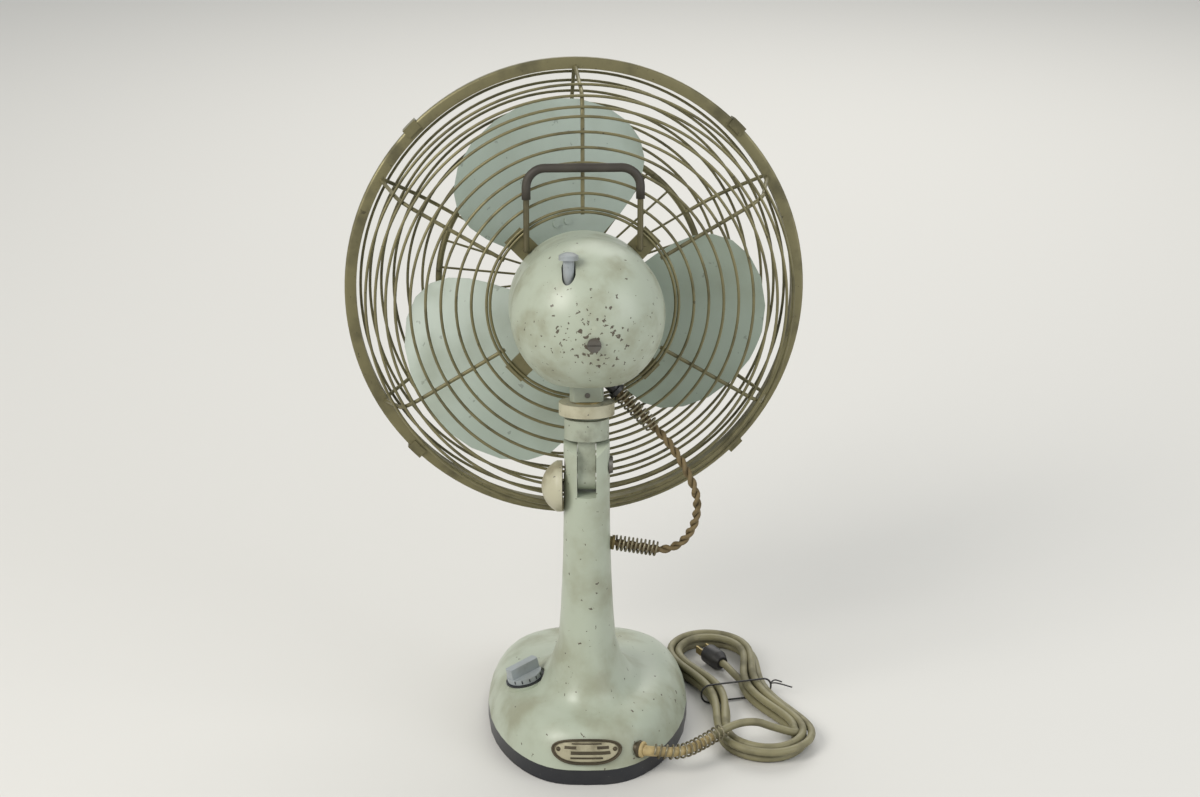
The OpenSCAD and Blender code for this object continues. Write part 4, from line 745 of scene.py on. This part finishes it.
def plate_point(u, v, rise):
    """A point over the nameplate: u runs along it and v down it, from -1 to 1, with a rise in mm."""
    p = casting_point(270 + PLATE_HALF_TURN * u, PLATE_SHARE + PLATE_HALF_SHARE * v)
    out = Vector((p.x, p.y + 2, 15)).normalized()
    return (p + rise * out) * MM


def plate_sheet(bm, middle, half, rise, round_it):
    """Adds a thin sheet that lies on the plate: an oval, or a bar with straight ends."""
    sheet = bmesh.ops.create_grid(bm, x_segments=20, y_segments=8, size=1)["verts"]
    for vert in sheet:
        x, y = vert.co.x, vert.co.y
        if round_it:
            x, y = x * math.sqrt(1 - y * y / 2), y * math.sqrt(1 - x * x / 2)
        vert.co = plate_point(middle[0] + half[0] * x, middle[1] + half[1] * y, rise)
    faces = list({face for vert in sheet for face in vert.link_faces})
    bmesh.ops.solidify(bm, geom=faces, thickness=SHEET_T * MM)


def plate_piece(name, bm, material):
    """A finished piece that stays with the stand."""
    made = finish_mesh(name, bm)
    dress(made, finishes[material])
    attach(made, "stand")
    return made


RIM_POINTS, RIM_SHARE, RIM_R, RIVET_SHARE, RIVET_R = 72, 0.95, 0.8, 0.72, 1.7
RIM_UP = Vector((0, -0.6, 0.8))
FIELD_HALF, FIELD_RISE, BAR_RISE = (0.84, 0.80), 0.1, 0.45
BLANK_BARS = (
    ((-0.34, -0.22), (0.17, 0.11)), ((0.34, -0.22), (0.17, 0.11)), ((0.12, 0.20), (0.42, 0.11)),
    ((0, 0.56), (0.3, 0.05)), ((0, -0.58), (0.3, 0.05)),
)
bm = bmesh.new()
turns = [2 * math.pi * k / RIM_POINTS for k in range(RIM_POINTS + 1)]
rim_path = [plate_point(RIM_SHARE * math.cos(a), RIM_SHARE * math.sin(a), PLATE_TOP) for a in turns]
tube(bm, rim_path, [RIM_UP] * len(rim_path), RIM_R * MM, WIRE_SIDES)
for u in (-RIVET_SHARE, RIVET_SHARE):
    rivet = bmesh.ops.create_uvsphere(bm, u_segments=16, v_segments=8, radius=RIVET_R * MM)["verts"]
    bmesh.ops.translate(bm, verts=rivet, vec=plate_point(u, 0, PLATE_TOP))
plate_rim = plate_piece("plate_rim", bm, "bronze_plate")
bm = bmesh.new()
plate_sheet(bm, (0, 0), FIELD_HALF, PLATE_TOP + FIELD_RISE, True)
plate_field = plate_piece("plate_field", bm, "plate_field")
bm = bmesh.new()
for middle, half in BLANK_BARS:
    plate_sheet(bm, middle, half, PLATE_TOP + BAR_RISE, False)
plate_bars = plate_piece("plate_bars", bm, "bronze_plate")
print("plate pieces:", plate_rim.name, plate_field.name, plate_bars.name)

# %% [markdown]
# ## Grip of the carrying handle
#
# The dark sleeve on the handle runs round both its bends and a little way down its legs.

# %%
HANDLE_Y, HANDLE_HALF_W, HANDLE_TOP, HANDLE_BEND_R = 28.2, 42, 102, 14
GRIP_R, GRIP_LEG, GRIP_STEPS = 3.3, 9, 8
bend_x, bend_z = HANDLE_HALF_W - HANDLE_BEND_R, HANDLE_TOP - HANDLE_BEND_R
grip_path = [(-HANDLE_HALF_W, bend_z - GRIP_LEG)]
for side, first in ((-1, 180), (1, 90)):
    for step in range(GRIP_STEPS + 1):
        a = math.radians(first - 90 * step / GRIP_STEPS)
        out, up = HANDLE_BEND_R * math.cos(a), HANDLE_BEND_R * math.sin(a)
        grip_path.append((side * bend_x + out, bend_z + up))
grip_path.append((HANDLE_HALF_W, bend_z - GRIP_LEG))
grip_points = [head_point(x, HANDLE_Y, FAN_AXIS_H + z) * MM for x, z in grip_path]
bm = bmesh.new()
tube(bm, grip_points, [head_way(0, 1, 0)] * len(grip_points), GRIP_R * MM, SLEEVE_SIDES)
handle_grip = finish_mesh("handle_grip", bm)
dress(handle_grip, finishes["black_rubber"])
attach(handle_grip, "head")
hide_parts("handle_sleeve")
print("grip points:", len(grip_points))

# %% [markdown]
# ## Marks round the speed knob
#
# Small plain ticks stand round the skirt of the knob, and turn with it.

# %%
SPEED_SPOT, SPEED_LEAN = Vector((-47.0538, -26.1745, 43.1939)), math.radians(-13)
TICK_R, TICK_Z, TICK_SIZE = 13.5, 4.9, (0.5, 0.9, 2.4)
speed_frame = Matrix.Translation(SPEED_SPOT * MM) @ Matrix.Rotation(SPEED_LEAN, 4, "Y")
tick_shift = Matrix.Translation(Vector((TICK_R, 0, TICK_Z)) * MM)
tick_size = Matrix.Diagonal((*(v * MM for v in TICK_SIZE), 1))
bm = bmesh.new()
for angle in range(-120, 31, 25):
    turned = Matrix.Rotation(math.radians(angle), 4, "Z") @ tick_shift
    bmesh.ops.create_cube(bm, size=1, matrix=speed_frame @ turned @ tick_size)
knob_marks = finish_mesh("knob_marks", bm, smooth=False)
dress(knob_marks, finishes["black_enamel"])
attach(knob_marks, "speed_knob")
print("ticks:", len(knob_marks.data.polygons) // 6)

# %% [markdown]
# ## Light and floor
#
# Soft daylight from the upper left behind the camera, a weaker fill from the right, and a plain
# pale floor.

# %%


def area_light(name, spot, aim, size, power, colour):
    """A square lamp at a spot, turned to its aim."""
    data = bpy.data.lights.new(name, "AREA")
    data.size = size
    data.energy = power
    data.color = colour
    lamp = bpy.data.objects.new(name, data)
    lamp.location = spot
    lamp.rotation_euler = (Vector(aim) - Vector(spot)).to_track_quat("-Z", "Y").to_euler()
    scene.collection.objects.link(lamp)


area_light("window", (-1.5, -1.3, 1.7), (0, 0, 0.25), 1.2, 40, (1.0, 0.97, 0.92))
area_light("fill", (1.7, -1.0, 1.1), (0, 0, 0.25), 1.4, 16, (0.95, 0.97, 1.0))
area_light("back", (0.3, 2.2, 2.0), (0, 1.2, 0), 2.0, 34, (1.0, 0.98, 0.94))
world = bpy.data.worlds.new("room")
world.use_nodes = True
sky = world.node_tree.nodes["Background"]
sky.inputs["Color"].default_value = (0.92, 0.94, 0.95, 1)
sky.inputs["Strength"].default_value = 0.6
scene.world = world

bm = bmesh.new()
bmesh.ops.create_grid(bm, x_segments=1, y_segments=1, size=6)
floor = finish_mesh("floor", bm, smooth=False)
floor.location.z = -0.0004
floor_paint = bpy.data.materials.new("floor")
floor_paint.use_nodes = True
floor_shader = floor_paint.node_tree.nodes["Principled BSDF"]
floor_shader.inputs["Base Color"].default_value = (0.62, 0.61, 0.58, 1)
floor_shader.inputs["Roughness"].default_value = 0.7
dress(floor, floor_paint)
scene.view_settings.view_transform = "Standard"
